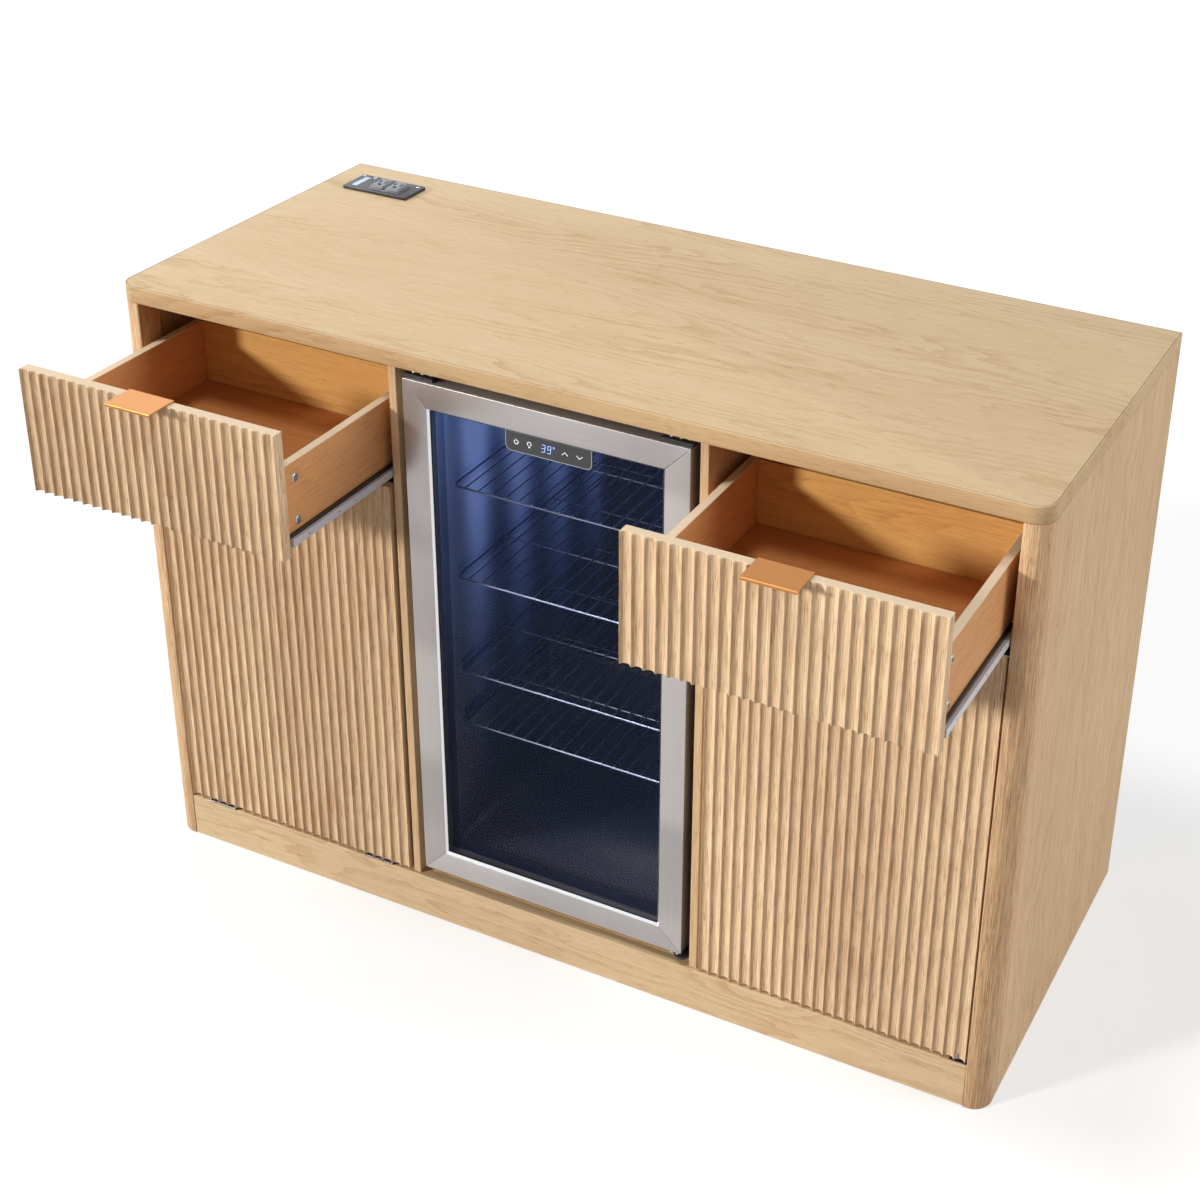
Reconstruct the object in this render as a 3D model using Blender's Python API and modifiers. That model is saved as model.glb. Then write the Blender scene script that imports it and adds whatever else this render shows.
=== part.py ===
"""Coffee bar cabinet with a drinks fridge in its middle bay.

Metres, +Z up, +X to the viewer's right, the front faces -Y. The origin is on the
floor in the middle of the cabinet. The drawers are modelled pulled out, the flap,
the door and the fridge door closed.
"""

import math

import bmesh
import bpy
from mathutils import Euler, Matrix, Vector

# Overall size
WIDTH = 1.400
DEPTH = 0.597
HEIGHT = 0.963

# Gap left between pieces that touch
FIT = 0.0003

# Boards of the carcass
TOP_THICKNESS = 0.025
CORNER_RADIUS = 0.028
SIDE_THICKNESS = 0.018
POST_WIDTH = 0.0337
POST_DEPTH = 0.043
KICK_HEIGHT = 0.0744
KICK_THICKNESS = 0.018
KICK_SETBACK = 0.001
FLOOR_THICKNESS = 0.018
FLOOR_RAIL_THICKNESS = 0.018
DIVIDER_THICKNESS = 0.0125
DIVIDER_SETBACK = 0.0054
BACK_THICKNESS = 0.006
EDGE_ROUND = 0.0008

# Air slots in the back panel, in two groups behind the fridge
VENT_WIDTH = 0.260
VENT_HEIGHT = 0.010
VENT_PITCH = 0.026
VENT_COUNT = 6
LOWER_VENT_RISE = 0.066
UPPER_VENT_DROP = 0.198

# Fluted fronts
FRONT_THICKNESS = 0.018
FRONT_SIDE_GAP = 0.003
DIVIDER_GAP = 0.0048
DRAWER_TOP_GAP = 0.004
DRAWER_FRONT_HEIGHT = 0.1852
GAP_UNDER_DRAWER = 0.003
GAP_OVER_KICK = 0.0041
FLUTE_PITCH = 0.0166
FLUTE_DEPTH = 0.005
RIDGE_LAND = 0.0012
FLUTE_STEPS = 6

# Drawer boxes
LEFT_PULLED_OUT = 0.2400
RIGHT_PULLED_OUT = 0.2425
RUNNER_SPACE = 0.012
BOX_SIDE_THICKNESS = 0.012
BOX_LIFT = 0.015
BOX_HEIGHT = 0.113
BOX_LENGTH = 0.340
BOX_FLOOR_THICKNESS = 0.005
BOX_FLOOR_LIFT = 0.011
GROOVE_DEPTH = 0.004

# Steel runners under the drawers' sides
STEEL = 0.0012
RUNNER_FOOT = 0.010
RUNNER_HEIGHT = 0.0155
RUNNER_SETBACK = 0.004
CHANNEL_LENGTH = 0.350
CHANNEL_SETBACK = 0.007
CHANNEL_FLANGE = 0.0092
CHANNEL_HEIGHT = 0.0222
RUNNING_GAP = 0.0004
PACKER_HEIGHT = 0.045

# Pull plates on the drawers' top edges
PULL_WIDTH = 0.073
PULL_REACH = 0.030
PULL_THICKNESS = 0.002
PULL_LIP = 0.0045
PULL_LEG = 0.026

# Tilt-out flap, its two butt hinges and its bin
FLAP_HINGE_INSET = 0.0571
FLAP_HINGE_WIDTH = 0.053
BARREL_RADIUS = 0.0017
BARREL_SETBACK = 0.0012
HINGE_LEAF = 0.0010
HINGE_LEAF_DEPTH = 0.016
KNUCKLE_GAP = 0.0004
BIN_SIDE_GAP = 0.032
BIN_DEPTH = 0.240
BIN_FOOT_DEPTH = 0.170
BIN_HEIGHT = 0.480
BIN_LIFT = 0.012
BIN_WALL = 0.003

# Right door, its two pivots and the shelf behind it
PIVOT_INSET = 0.012
PIVOT_BEHIND_FACE = 0.007
PIVOT_RADIUS = 0.003
PIVOT_CLEARANCE = 0.0003
PIVOT_REACH = 0.010
PIVOT_PLATE = 0.0015
PIVOT_PLATE_DEPTH = 0.022
PIVOT_PLATE_TAIL = 0.012
SHELF_RISE = 0.3256
SHELF_THICKNESS = 0.016
SHELF_SETBACK = 0.060

# Fridge body
FRIDGE_WIDTH = 0.440
FRIDGE_SIDE_GAP = 0.0118
FRIDGE_LIFT = 0.016
FRIDGE_TOP_GAP = 0.0142
FRIDGE_DEPTH = 0.460
FRIDGE_SIDE_WALL = 0.032
FRIDGE_FLOOR_WALL = 0.035
FRIDGE_TOP_WALL = 0.034
LINER_THICKNESS = 0.002
MACHINE_BAY_HEIGHT = 0.210
MACHINE_BAY_DEPTH = 0.160
MACHINE_BAY_FLOOR = 0.016
COMPRESSOR_RADIUS = 0.062
COMPRESSOR_HEIGHT = 0.150
COMPRESSOR_FOOT_RADIUS = 0.070
COMPRESSOR_FOOT = 0.008
FRIDGE_SHELF_RISES = (0.2526, 0.3426, 0.5026, 0.6526)
FRIDGE_SHELF_SETBACK = 0.014
SHELF_WIRE = 0.004
SHELF_BAR_PITCH = 0.024
FOOT_RADIUS = 0.016

# Fridge door
DOOR_SETBACK = 0.002
DOOR_THICKNESS = 0.036
DOOR_LIFT = 0.004
DOOR_STILE = 0.0410
GLASS_RECESS = 0.0065
GLASS_THICKNESS = 0.010
GASKET_THICKNESS = 0.008
GASKET_WIDTH = 0.030
GASKET_INSET = 0.006
PANEL_WIDTH = 0.134
PANEL_HEIGHT = 0.030
PANEL_THICKNESS = 0.0015
PANEL_OFFSET = 0.006

# Fridge door hinges
DOOR_PIVOT_INSET = 0.0065
DOOR_PIVOT_BEHIND_FACE = 0.010
DOOR_PIN_RADIUS = 0.003
DOOR_PIN_REACH = 0.012
BRACKET_WIDTH = 0.046
BRACKET_THICKNESS = 0.005
BRACKET_TAIL = 0.070
BRACKET_NOSE = 0.005
TONGUE_THICKNESS = 0.003
TONGUE_RADIUS = 0.013
TONGUE_GAP = 0.0006

# Power module let into the top
POWER_FROM_LEFT = 0.105
POWER_FROM_BACK = 0.0825
BEZEL_WIDTH = 0.122
BEZEL_DEPTH = 0.060
BEZEL_HEIGHT = 0.006
BEZEL_CHAMFER = 0.0025
POWER_BOX_WIDTH = 0.108
POWER_BOX_DEPTH = 0.048
POWER_BOX_DROP = 0.050
CUTOUT_CLEARANCE = 0.001
SOCKET_FIELD_WIDTH = 0.060
SOCKET_FIELD_DEPTH = 0.044
SOCKET_FIELD_SHIFT = 0.006
SOCKET_POCKET = 0.0035
SOCKET_RISE = 0.004
SOCKET_WIDTH = 0.026
SOCKET_DEPTH = 0.040
SOCKET_PITCH = 0.029
BLADE_PITCH = 0.012
BLADE_WIDTH = 0.0022
BLADE_LENGTH = 0.008
BLADE_DEPTH = 0.003
EARTH_RADIUS = 0.0024

# Finishes: colour, roughness, metallic
OAK = ("oak_laminate", (0.62, 0.45, 0.28), 0.50, 0.0)
BACKER = ("back_board", (0.55, 0.42, 0.28), 0.70, 0.0)
STAINLESS = ("brushed_stainless", (0.62, 0.60, 0.58), 0.32, 1.0)
CHROME = ("chrome", (0.80, 0.80, 0.82), 0.12, 1.0)
ZINC = ("zinc_steel", (0.70, 0.71, 0.72), 0.38, 1.0)
COATED = ("coated_steel", (0.78, 0.78, 0.76), 0.45, 0.2)
COPPER = ("copper_pull", (0.72, 0.44, 0.27), 0.28, 1.0)
BLACK = ("black_plastic", (0.025, 0.025, 0.028), 0.40, 0.0)
BLACK_STEEL = ("black_steel", (0.040, 0.036, 0.034), 0.45, 0.3)
LINER_GREY = ("dark_liner", (0.045, 0.060, 0.120), 0.45, 0.0)
GLASS = ("glass", (0.80, 0.86, 0.92), 0.03, 0.0)
RUBBER = ("rubber", (0.03, 0.03, 0.03), 0.70, 0.0)
BIN_GREY = ("bin_plastic", (0.30, 0.30, 0.31), 0.55, 0.0)

# Levels and faces that follow from the sizes above
FRONT_Y = -DEPTH / 2
BACK_Y = DEPTH / 2
BACK_FACE_Y = BACK_Y - BACK_THICKNESS - FIT
TOP_UNDERSIDE = HEIGHT - TOP_THICKNESS
CARCASS_TOP = TOP_UNDERSIDE - FIT
POST_INNER_X = WIDTH / 2 - POST_WIDTH
SIDE_INNER_X = WIDTH / 2 - SIDE_THICKNESS
DIVIDER_INNER_X = FRIDGE_WIDTH / 2 + FRIDGE_SIDE_GAP
DIVIDER_OUTER_X = DIVIDER_INNER_X + DIVIDER_THICKNESS
DIVIDER_Z = KICK_HEIGHT + FIT
FRONT_INNER_X = DIVIDER_OUTER_X + DIVIDER_GAP
FRONT_OUTER_X = POST_INNER_X - FRONT_SIDE_GAP
DRAWER_FRONT_TOP = TOP_UNDERSIDE - DRAWER_TOP_GAP
DRAWER_FRONT_BOTTOM = DRAWER_FRONT_TOP - DRAWER_FRONT_HEIGHT
LOWER_FRONT_TOP = DRAWER_FRONT_BOTTOM - GAP_UNDER_DRAWER
LOWER_FRONT_BOTTOM = KICK_HEIGHT + GAP_OVER_KICK
FRONT_BACK_Y = FRONT_Y + FRONT_THICKNESS
BOX_BOTTOM = DRAWER_FRONT_BOTTOM + BOX_LIFT
BOX_TOP = BOX_BOTTOM + BOX_HEIGHT
BOX_FLOOR_BOTTOM = BOX_BOTTOM + BOX_FLOOR_LIFT
BOX_FLOOR_TOP = BOX_FLOOR_BOTTOM + BOX_FLOOR_THICKNESS
BOX_INNER_X = DIVIDER_OUTER_X + RUNNER_SPACE
BOX_OUTER_X = POST_INNER_X - RUNNER_SPACE
RUNNER_FOOT_BOTTOM = BOX_BOTTOM - FIT - STEEL
RUNNER_LENGTH = BOX_LENGTH - RUNNER_SETBACK - FIT
CHANNEL_BOTTOM = RUNNER_FOOT_BOTTOM - RUNNING_GAP - STEEL
FLAP_AXIS_Y = FRONT_Y + BARREL_SETBACK
FLAP_AXIS_Z = KICK_HEIGHT + GAP_OVER_KICK / 2
FLAP_CENTRE_X = -(FRONT_INNER_X + FRONT_OUTER_X) / 2
PIVOT_X = FRONT_OUTER_X - PIVOT_INSET
PIVOT_Y = FRONT_Y + PIVOT_BEHIND_FACE
FRIDGE_BOTTOM = KICK_HEIGHT + FRIDGE_LIFT
FRIDGE_TOP = TOP_UNDERSIDE - FRIDGE_TOP_GAP
DOOR_FRONT_Y = FRONT_Y + DOOR_SETBACK
DOOR_BACK_Y = DOOR_FRONT_Y + DOOR_THICKNESS
GASKET_Y = DOOR_BACK_Y + FIT
FRIDGE_FRONT_Y = GASKET_Y + GASKET_THICKNESS + FIT
FRIDGE_BACK_Y = FRIDGE_FRONT_Y + FRIDGE_DEPTH
CAVITY_HALF = FRIDGE_WIDTH / 2 - FRIDGE_SIDE_WALL
CAVITY_BOTTOM = FRIDGE_BOTTOM + FRIDGE_FLOOR_WALL
CAVITY_TOP = FRIDGE_TOP - FRIDGE_TOP_WALL
CAVITY_BACK_Y = FRIDGE_BACK_Y - FRIDGE_SIDE_WALL
BAY_FRONT_Y = FRIDGE_BACK_Y - MACHINE_BAY_DEPTH
BAY_FLOOR_Z = FRIDGE_BOTTOM + MACHINE_BAY_FLOOR
BAY_TOP_Z = FRIDGE_BOTTOM + MACHINE_BAY_HEIGHT
STEP_Y = BAY_FRONT_Y - FRIDGE_SIDE_WALL
STEP_Z = BAY_TOP_Z + FRIDGE_FLOOR_WALL
LINER_SKIN = LINER_THICKNESS + FIT
DOOR_BOTTOM = FRIDGE_BOTTOM + DOOR_LIFT
DOOR_PIVOT_X = FRIDGE_WIDTH / 2 - DOOR_PIVOT_INSET
DOOR_PIVOT_Y = DOOR_FRONT_Y + DOOR_PIVOT_BEHIND_FACE
POWER_X = -WIDTH / 2 + POWER_FROM_LEFT
POWER_Y = BACK_Y - POWER_FROM_BACK

# Planes that an outline can be drawn in, as the turn that takes it there
FLAT = Euler((0, 0, 0))
FACING_FRONT = Euler((math.pi / 2, 0, 0))
FACING_SIDE = Euler((math.pi / 2, 0, math.pi / 2))

materials = {}


def clear_scene():
    for old in list(bpy.data.objects):
        bpy.data.objects.remove(old, do_unlink=True)


def make_collection(name, helpers=False):
    made = bpy.data.collections.new(name)
    made.hide_render = helpers
    bpy.context.scene.collection.children.link(made)
    return made


def finish_material(finish):
    name, colour, roughness, metallic = finish
    if name not in materials:
        material = bpy.data.materials.new(name)
        material.use_nodes = True
        shader = material.node_tree.nodes["Principled BSDF"]
        shader.inputs["Base Color"].default_value = (*colour, 1)
        shader.inputs["Roughness"].default_value = roughness
        shader.inputs["Metallic"].default_value = metallic
        materials[name] = material
    return materials[name]


def add_object(name, mesh, finish):
    """A new object in the cabinet's collection, or a cutter where it has no finish."""
    made = bpy.data.objects.new(name, mesh)
    if finish is None:
        cutters.objects.link(made)
        made.hide_render = True
        made.display_type = "WIRE"
    else:
        # Each piece owns its material, so that one can be changed by itself.
        mesh.materials.append(finish_material(finish).copy())
        cabinet.objects.link(made)
    return made


def board(name, low, high, finish, round_edges=0.0):
    """A box between two corners, with its origin at its middle."""
    low = Vector(low)
    high = Vector(high)
    mesh = bpy.data.meshes.new(name)
    shape = bmesh.new()
    bmesh.ops.create_cube(shape, size=1.0, matrix=Matrix.Diagonal((*(high - low), 1)))
    shape.to_mesh(mesh)
    shape.free()
    made = add_object(name, mesh, finish)
    made.location = (low + high) / 2
    if round_edges:
        bevel = made.modifiers.new("rounded_edges", "BEVEL")
        bevel.width = round_edges
        bevel.segments = 1
    return made


def prism(name, outlines, low, high, plane, finish):
    """A solid between low and high on the plane; the first outline is its edge, the others are holes."""
    curve = bpy.data.curves.new(name + "_outline", "CURVE")
    curve.dimensions = "2D"
    curve.fill_mode = "BOTH"
    curve.extrude = (high - low) / 2
    for outline in outlines:
        spline = curve.splines.new("POLY")
        spline.points.add(len(outline) - 1)
        for point, (u, v) in zip(spline.points, outline):
            point.co = (u, v, 0, 1)
        spline.use_cyclic_u = True
    drawn = bpy.data.objects.new(name + "_outline", curve)
    bpy.context.scene.collection.objects.link(drawn)
    bpy.context.view_layer.update()
    graph = bpy.context.evaluated_depsgraph_get()
    mesh = bpy.data.meshes.new_from_object(drawn.evaluated_get(graph))
    bpy.data.objects.remove(drawn)
    bpy.data.curves.remove(curve)
    shape = bmesh.new()
    shape.from_mesh(mesh)
    bmesh.ops.remove_doubles(shape, verts=shape.verts, dist=1e-6)
    bmesh.ops.recalc_face_normals(shape, faces=shape.faces)
    shape.to_mesh(mesh)
    shape.free()
    mesh.name = name
    mesh.materials.clear()
    made = add_object(name, mesh, finish)
    made.rotation_euler = plane
    # The facing-front plane's normal points at -Y, the other two at +Z and +X.
    middle = (low + high) / 2
    made.location = {0: (0, 0, middle), 1: (0, middle, 0), 2: (middle, 0, 0)}[
        (FLAT, FACING_FRONT, FACING_SIDE).index(plane)
    ]
    return made


def cylinder(name, radius, low, high, finish, segments=24):
    """A round bar between two points along one axis."""
    low = Vector(low)
    high = Vector(high)
    mesh = bpy.data.meshes.new(name)
    shape = bmesh.new()
    bmesh.ops.create_cone(
        shape,
        cap_ends=True,
        segments=segments,
        radius1=radius,
        radius2=radius,
        depth=(high - low).length,
    )
    shape.to_mesh(mesh)
    shape.free()
    mesh.shade_smooth()
    mesh.set_sharp_from_angle(angle=math.radians(40))
    made = add_object(name, mesh, finish)
    made.location = (low + high) / 2
    made.rotation_euler = (high - low).to_track_quat("Z", "Y").to_euler()
    return made


def combine(target, other, operation):
    """Cut a helper solid out of the target, or join it on."""
    change = target.modifiers.new(operation.lower() + "_" + other.name, "BOOLEAN")
    change.operation = operation
    change.object = other


def rectangle(low_u, low_v, high_u, high_v):
    return [(low_u, low_v), (high_u, low_v), (high_u, high_v), (low_u, high_v)]


def mirrored(outline, side):
    """The outline for the right half, or its reflection for the left."""
    return outline if side > 0 else [(-u, v) for u, v in reversed(outline)]


def arc(centre, radius, start, end, steps):
    """Points of a circular arc, with its angles in degrees."""
    points = []
    for step in range(steps + 1):
        angle = math.radians(start + (end - start) * step / steps)
        points.append(
            (
                centre[0] + radius * math.cos(angle),
                centre[1] + radius * math.sin(angle),
            )
        )
    return points


def side_name(side):
    return "right" if side > 0 else "left"


def fluted_outline(low_x, high_x, front_y, back_y):
    """Plan of a front whose face is a row of hollow flutes with narrow ridges between."""
    count = max(1, round((high_x - low_x) / FLUTE_PITCH))
    pitch = (high_x - low_x) / count
    half = (pitch - RIDGE_LAND) / 2
    radius = (half**2 + FLUTE_DEPTH**2) / (2 * FLUTE_DEPTH)
    spread = math.degrees(math.asin(min(1.0, half / radius)))
    if FLUTE_DEPTH > half:
        spread = 180 - spread
    points = [(low_x, back_y), (low_x, front_y)]
    for flute in range(count):
        middle = low_x + (flute + 0.5) * pitch
        centre = (middle, front_y + FLUTE_DEPTH - radius)
        points += arc(centre, radius, 90 + spread, 90 - spread, FLUTE_STEPS)
    points += [(high_x, front_y), (high_x, back_y)]
    return points


def make_top():
    half = WIDTH / 2
    outline = [(half, BACK_Y), (-half, BACK_Y)]
    outline += arc(
        (-half + CORNER_RADIUS, FRONT_Y + CORNER_RADIUS), CORNER_RADIUS, 180, 270, 8
    )
    outline += arc(
        (half - CORNER_RADIUS, FRONT_Y + CORNER_RADIUS), CORNER_RADIUS, 270, 360, 8
    )
    top = prism("top_board", [outline], TOP_UNDERSIDE, HEIGHT, FLAT, OAK)
    cutout = board(
        "power_cutout",
        power_box_corner(-1, TOP_UNDERSIDE - TOP_THICKNESS, CUTOUT_CLEARANCE),
        power_box_corner(1, HEIGHT + TOP_THICKNESS, CUTOUT_CLEARANCE),
        None,
    )
    combine(top, cutout, "DIFFERENCE")
    bevel = top.modifiers.new("rounded_edges", "BEVEL")
    bevel.width = EDGE_ROUND
    bevel.segments = 1
    bevel.limit_method = "ANGLE"
    bevel.angle_limit = math.radians(60)


def make_post(side):
    corner = (WIDTH / 2 - CORNER_RADIUS, FRONT_Y + CORNER_RADIUS)
    outline = [
        (POST_INNER_X, FRONT_Y + POST_DEPTH),
        (POST_INNER_X, FRONT_Y),
        *arc(corner, CORNER_RADIUS, 270, 360, 8),
        (WIDTH / 2, FRONT_Y + POST_DEPTH),
    ]
    name = side_name(side) + "_corner_post"
    prism(name, [mirrored(outline, side)], 0, CARCASS_TOP, FLAT, OAK)


def make_side_panel(side):
    near = side * SIDE_INNER_X
    far = side * WIDTH / 2
    board(
        side_name(side) + "_side_panel",
        (min(near, far), FRONT_Y + POST_DEPTH + FIT, 0),
        (max(near, far), BACK_Y, CARCASS_TOP),
        OAK,
        EDGE_ROUND,
    )


def make_kickboard():
    board(
        "kickboard",
        (-POST_INNER_X + FIT, FRONT_Y + KICK_SETBACK, 0),
        (POST_INNER_X - FIT, FRONT_Y + KICK_SETBACK + KICK_THICKNESS, KICK_HEIGHT),
        OAK,
        EDGE_ROUND,
    )


def make_bottom_panel():
    """The floor of all three bays, notched round the two corner posts."""
    front = FRONT_Y + KICK_SETBACK + KICK_THICKNESS + FIT
    behind_post = FRONT_Y + POST_DEPTH + FIT
    side = SIDE_INNER_X - FIT
    beside_post = POST_INNER_X - FIT
    outline = [
        (-beside_post, front),
        (beside_post, front),
        (beside_post, behind_post),
        (side, behind_post),
        (side, BACK_FACE_Y),
        (-side, BACK_FACE_Y),
        (-side, behind_post),
        (-beside_post, behind_post),
    ]
    low = KICK_HEIGHT - FLOOR_THICKNESS
    prism("bottom_panel", [outline], low, KICK_HEIGHT, FLAT, OAK)
    half = FLOOR_RAIL_THICKNESS / 2
    board("centre_floor_rail", (-half, front, 0), (half, BACK_FACE_Y, low - FIT), OAK)


def make_divider(side):
    near = side * DIVIDER_INNER_X
    far = side * DIVIDER_OUTER_X
    board(
        side_name(side) + "_divider",
        (min(near, far), FRONT_Y + DIVIDER_SETBACK, DIVIDER_Z),
        (max(near, far), BACK_FACE_Y, CARCASS_TOP),
        OAK,
        EDGE_ROUND,
    )


def make_back_panel():
    half = SIDE_INNER_X - FIT
    outlines = [rectangle(-half, 0, half, CARCASS_TOP)]
    for lowest in (KICK_HEIGHT + LOWER_VENT_RISE, TOP_UNDERSIDE - UPPER_VENT_DROP):
        for row in range(VENT_COUNT):
            z = lowest + row * VENT_PITCH
            slot = rectangle(-VENT_WIDTH / 2, z, VENT_WIDTH / 2, z + VENT_HEIGHT)
            outlines.append(slot)
    low = BACK_Y - BACK_THICKNESS
    prism("back_panel", outlines, low, BACK_Y, FACING_FRONT, BACKER)


def make_packer(side):
    """The strip that brings a drawer's outer channel level with the post."""
    near = side * POST_INNER_X
    far = side * (SIDE_INNER_X - FIT)
    middle = CHANNEL_BOTTOM + CHANNEL_HEIGHT / 2
    board(
        side_name(side) + "_runner_packer",
        (min(near, far), FRONT_Y + POST_DEPTH + FIT, middle - PACKER_HEIGHT / 2),
        (max(near, far), BACK_FACE_Y, middle + PACKER_HEIGHT / 2),
        OAK,
    )


def make_right_shelf():
    top = KICK_HEIGHT + SHELF_RISE
    board(
        "right_bay_shelf",
        (DIVIDER_OUTER_X + FIT, FRONT_Y + SHELF_SETBACK, top - SHELF_THICKNESS),
        (SIDE_INNER_X - FIT, BACK_FACE_Y - FIT, top),
        OAK,
        EDGE_ROUND,
    )


def make_channel(name, wall_x, outward):
    """The fixed member of a runner, a C open towards the drawer, on a wall at wall_x."""
    web = wall_x + outward * FIT
    inside = web + outward * STEEL
    tip = wall_x + outward * CHANNEL_FLANGE
    top = CHANNEL_BOTTOM + CHANNEL_HEIGHT
    outline = [
        (web, CHANNEL_BOTTOM),
        (tip, CHANNEL_BOTTOM),
        (tip, CHANNEL_BOTTOM + STEEL),
        (inside, CHANNEL_BOTTOM + STEEL),
        (inside, top - STEEL),
        (tip, top - STEEL),
        (tip, top),
        (web, top),
    ]
    start = FRONT_BACK_Y + CHANNEL_SETBACK
    prism(name, [outline], start, start + CHANNEL_LENGTH, FACING_FRONT, COATED)


def make_runner(name, box_x, outward, front_y):
    """The drawer's member: a foot under its side, a lip in the channel and a wall."""
    wall = box_x - outward * FIT
    lip = box_x - outward * (RUNNER_SPACE - FIT - STEEL - RUNNING_GAP)
    foot = box_x + outward * RUNNER_FOOT
    shelf = RUNNER_FOOT_BOTTOM + STEEL
    outline = [
        (lip, RUNNER_FOOT_BOTTOM),
        (foot, RUNNER_FOOT_BOTTOM),
        (foot, shelf),
        (wall, shelf),
        (wall, RUNNER_FOOT_BOTTOM + RUNNER_HEIGHT),
        (wall - outward * STEEL, RUNNER_FOOT_BOTTOM + RUNNER_HEIGHT),
        (wall - outward * STEEL, shelf),
        (lip, shelf),
    ]
    start = front_y + FRONT_THICKNESS + RUNNER_SETBACK
    return prism(name, [outline], start, start + RUNNER_LENGTH, FACING_FRONT, COATED)


def make_drawer(side, pulled_out):
    """One drawer and its fixed channels. Returns the pieces that slide."""
    drawer = side_name(side) + "_drawer_"
    front_y = FRONT_Y - pulled_out
    box_front = front_y + FRONT_THICKNESS + FIT
    box_back = box_front + BOX_LENGTH
    plan = fluted_outline(
        FRONT_INNER_X, FRONT_OUTER_X, front_y, front_y + FRONT_THICKNESS
    )
    plan = mirrored(plan, side)
    pieces = [
        prism(
            drawer + "front", [plan], DRAWER_FRONT_BOTTOM, DRAWER_FRONT_TOP, FLAT, OAK
        )
    ]
    ends = (
        ("inner_", DIVIDER_OUTER_X, BOX_INNER_X, 1),
        ("outer_", POST_INNER_X, BOX_OUTER_X, -1),
    )
    for end, wall_x, box_x, outward in ends:
        # The side's section, with the groove that holds the drawer's floor.
        inside = box_x + outward * BOX_SIDE_THICKNESS
        groove = inside - outward * GROOVE_DEPTH
        section = [
            (box_x, BOX_BOTTOM),
            (inside, BOX_BOTTOM),
            (inside, BOX_FLOOR_BOTTOM - FIT),
            (groove, BOX_FLOOR_BOTTOM - FIT),
            (groove, BOX_FLOOR_TOP + FIT),
            (inside, BOX_FLOOR_TOP + FIT),
            (inside, BOX_TOP),
            (box_x, BOX_TOP),
        ]
        pieces.append(
            prism(
                drawer + end + "side",
                [mirrored(section, side)],
                box_front,
                box_back,
                FACING_FRONT,
                OAK,
            )
        )
        make_channel(drawer + end + "channel", side * wall_x, side * outward)
        pieces.append(
            make_runner(
                drawer + end + "runner", side * box_x, side * outward, front_y
            )
        )
    inner = BOX_INNER_X + BOX_SIDE_THICKNESS + FIT
    outer = BOX_OUTER_X - BOX_SIDE_THICKNESS - FIT
    left = min(side * inner, side * outer)
    right = max(side * inner, side * outer)
    pieces.append(
        board(
            drawer + "back",
            (left, box_back - BOX_SIDE_THICKNESS, BOX_FLOOR_TOP + FIT),
            (right, box_back, BOX_TOP),
            OAK,
        )
    )
    in_groove = GROOVE_DEPTH - FIT
    pieces.append(
        board(
            drawer + "floor",
            (left - in_groove, box_front, BOX_FLOOR_BOTTOM),
            (right + in_groove, box_back, BOX_FLOOR_TOP),
            OAK,
        )
    )
    pieces.append(make_pull(side, front_y))
    return pieces


def make_pull(side, front_y):
    """A bent plate over the front's top edge, with a lip before and a leg behind."""
    middle = side * (FRONT_INNER_X + FRONT_OUTER_X) / 2
    low = DRAWER_FRONT_TOP + FIT
    top = low + PULL_THICKNESS
    tip = front_y - PULL_REACH
    behind = front_y + FRONT_THICKNESS + FIT
    outline = [
        (tip, top),
        (tip, top - PULL_LIP),
        (tip + PULL_THICKNESS, top - PULL_LIP),
        (tip + PULL_THICKNESS, low),
        (behind, low),
        (behind, top - PULL_LEG),
        (behind + PULL_THICKNESS, top - PULL_LEG),
        (behind + PULL_THICKNESS, top),
    ]
    name = side_name(side) + "_drawer_pull"
    start = middle - PULL_WIDTH / 2
    return prism(name, [outline], start, start + PULL_WIDTH, FACING_SIDE, COPPER)


def make_flap_hinge(name, middle):
    """A butt hinge: the fixed leaf with the outer knuckles, the flap's with the middle one."""
    third = FLAP_HINGE_WIDTH / 3
    start = middle - FLAP_HINGE_WIDTH / 2
    pieces = []
    leaves = (
        ("_fixed_leaf", KICK_HEIGHT + FIT, ((0, 1), (2, 3))),
        ("_moving_leaf", LOWER_FRONT_BOTTOM - FIT - HINGE_LEAF, ((1, 2),)),
    )
    for part_name, leaf_z, knuckles in leaves:
        near = FLAP_AXIS_Y + BARREL_RADIUS + KNUCKLE_GAP
        leaf = board(
            name + part_name,
            (start, near, leaf_z),
            (start + FLAP_HINGE_WIDTH, near + HINGE_LEAF_DEPTH, leaf_z + HINGE_LEAF),
            CHROME,
        )
        for number, (first, last) in enumerate(knuckles):
            low = start + first * third + (KNUCKLE_GAP if first else 0)
            high = start + last * third - (KNUCKLE_GAP if last < 3 else 0)
            barrel = cylinder(
                f"{name}{part_name}_knuckle_{number}",
                BARREL_RADIUS,
                (low, FLAP_AXIS_Y, FLAP_AXIS_Z),
                (high, FLAP_AXIS_Y, FLAP_AXIS_Z),
                None,
                16,
            )
            tongue = board(
                f"{name}{part_name}_tongue_{number}",
                (low, FLAP_AXIS_Y, min(leaf_z, FLAP_AXIS_Z)),
                (high, near + KNUCKLE_GAP, max(leaf_z + HINGE_LEAF, FLAP_AXIS_Z)),
                None,
            )
            combine(leaf, tongue, "UNION")
            combine(leaf, barrel, "UNION")
        pieces.append(leaf)
    return pieces[1]


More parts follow.
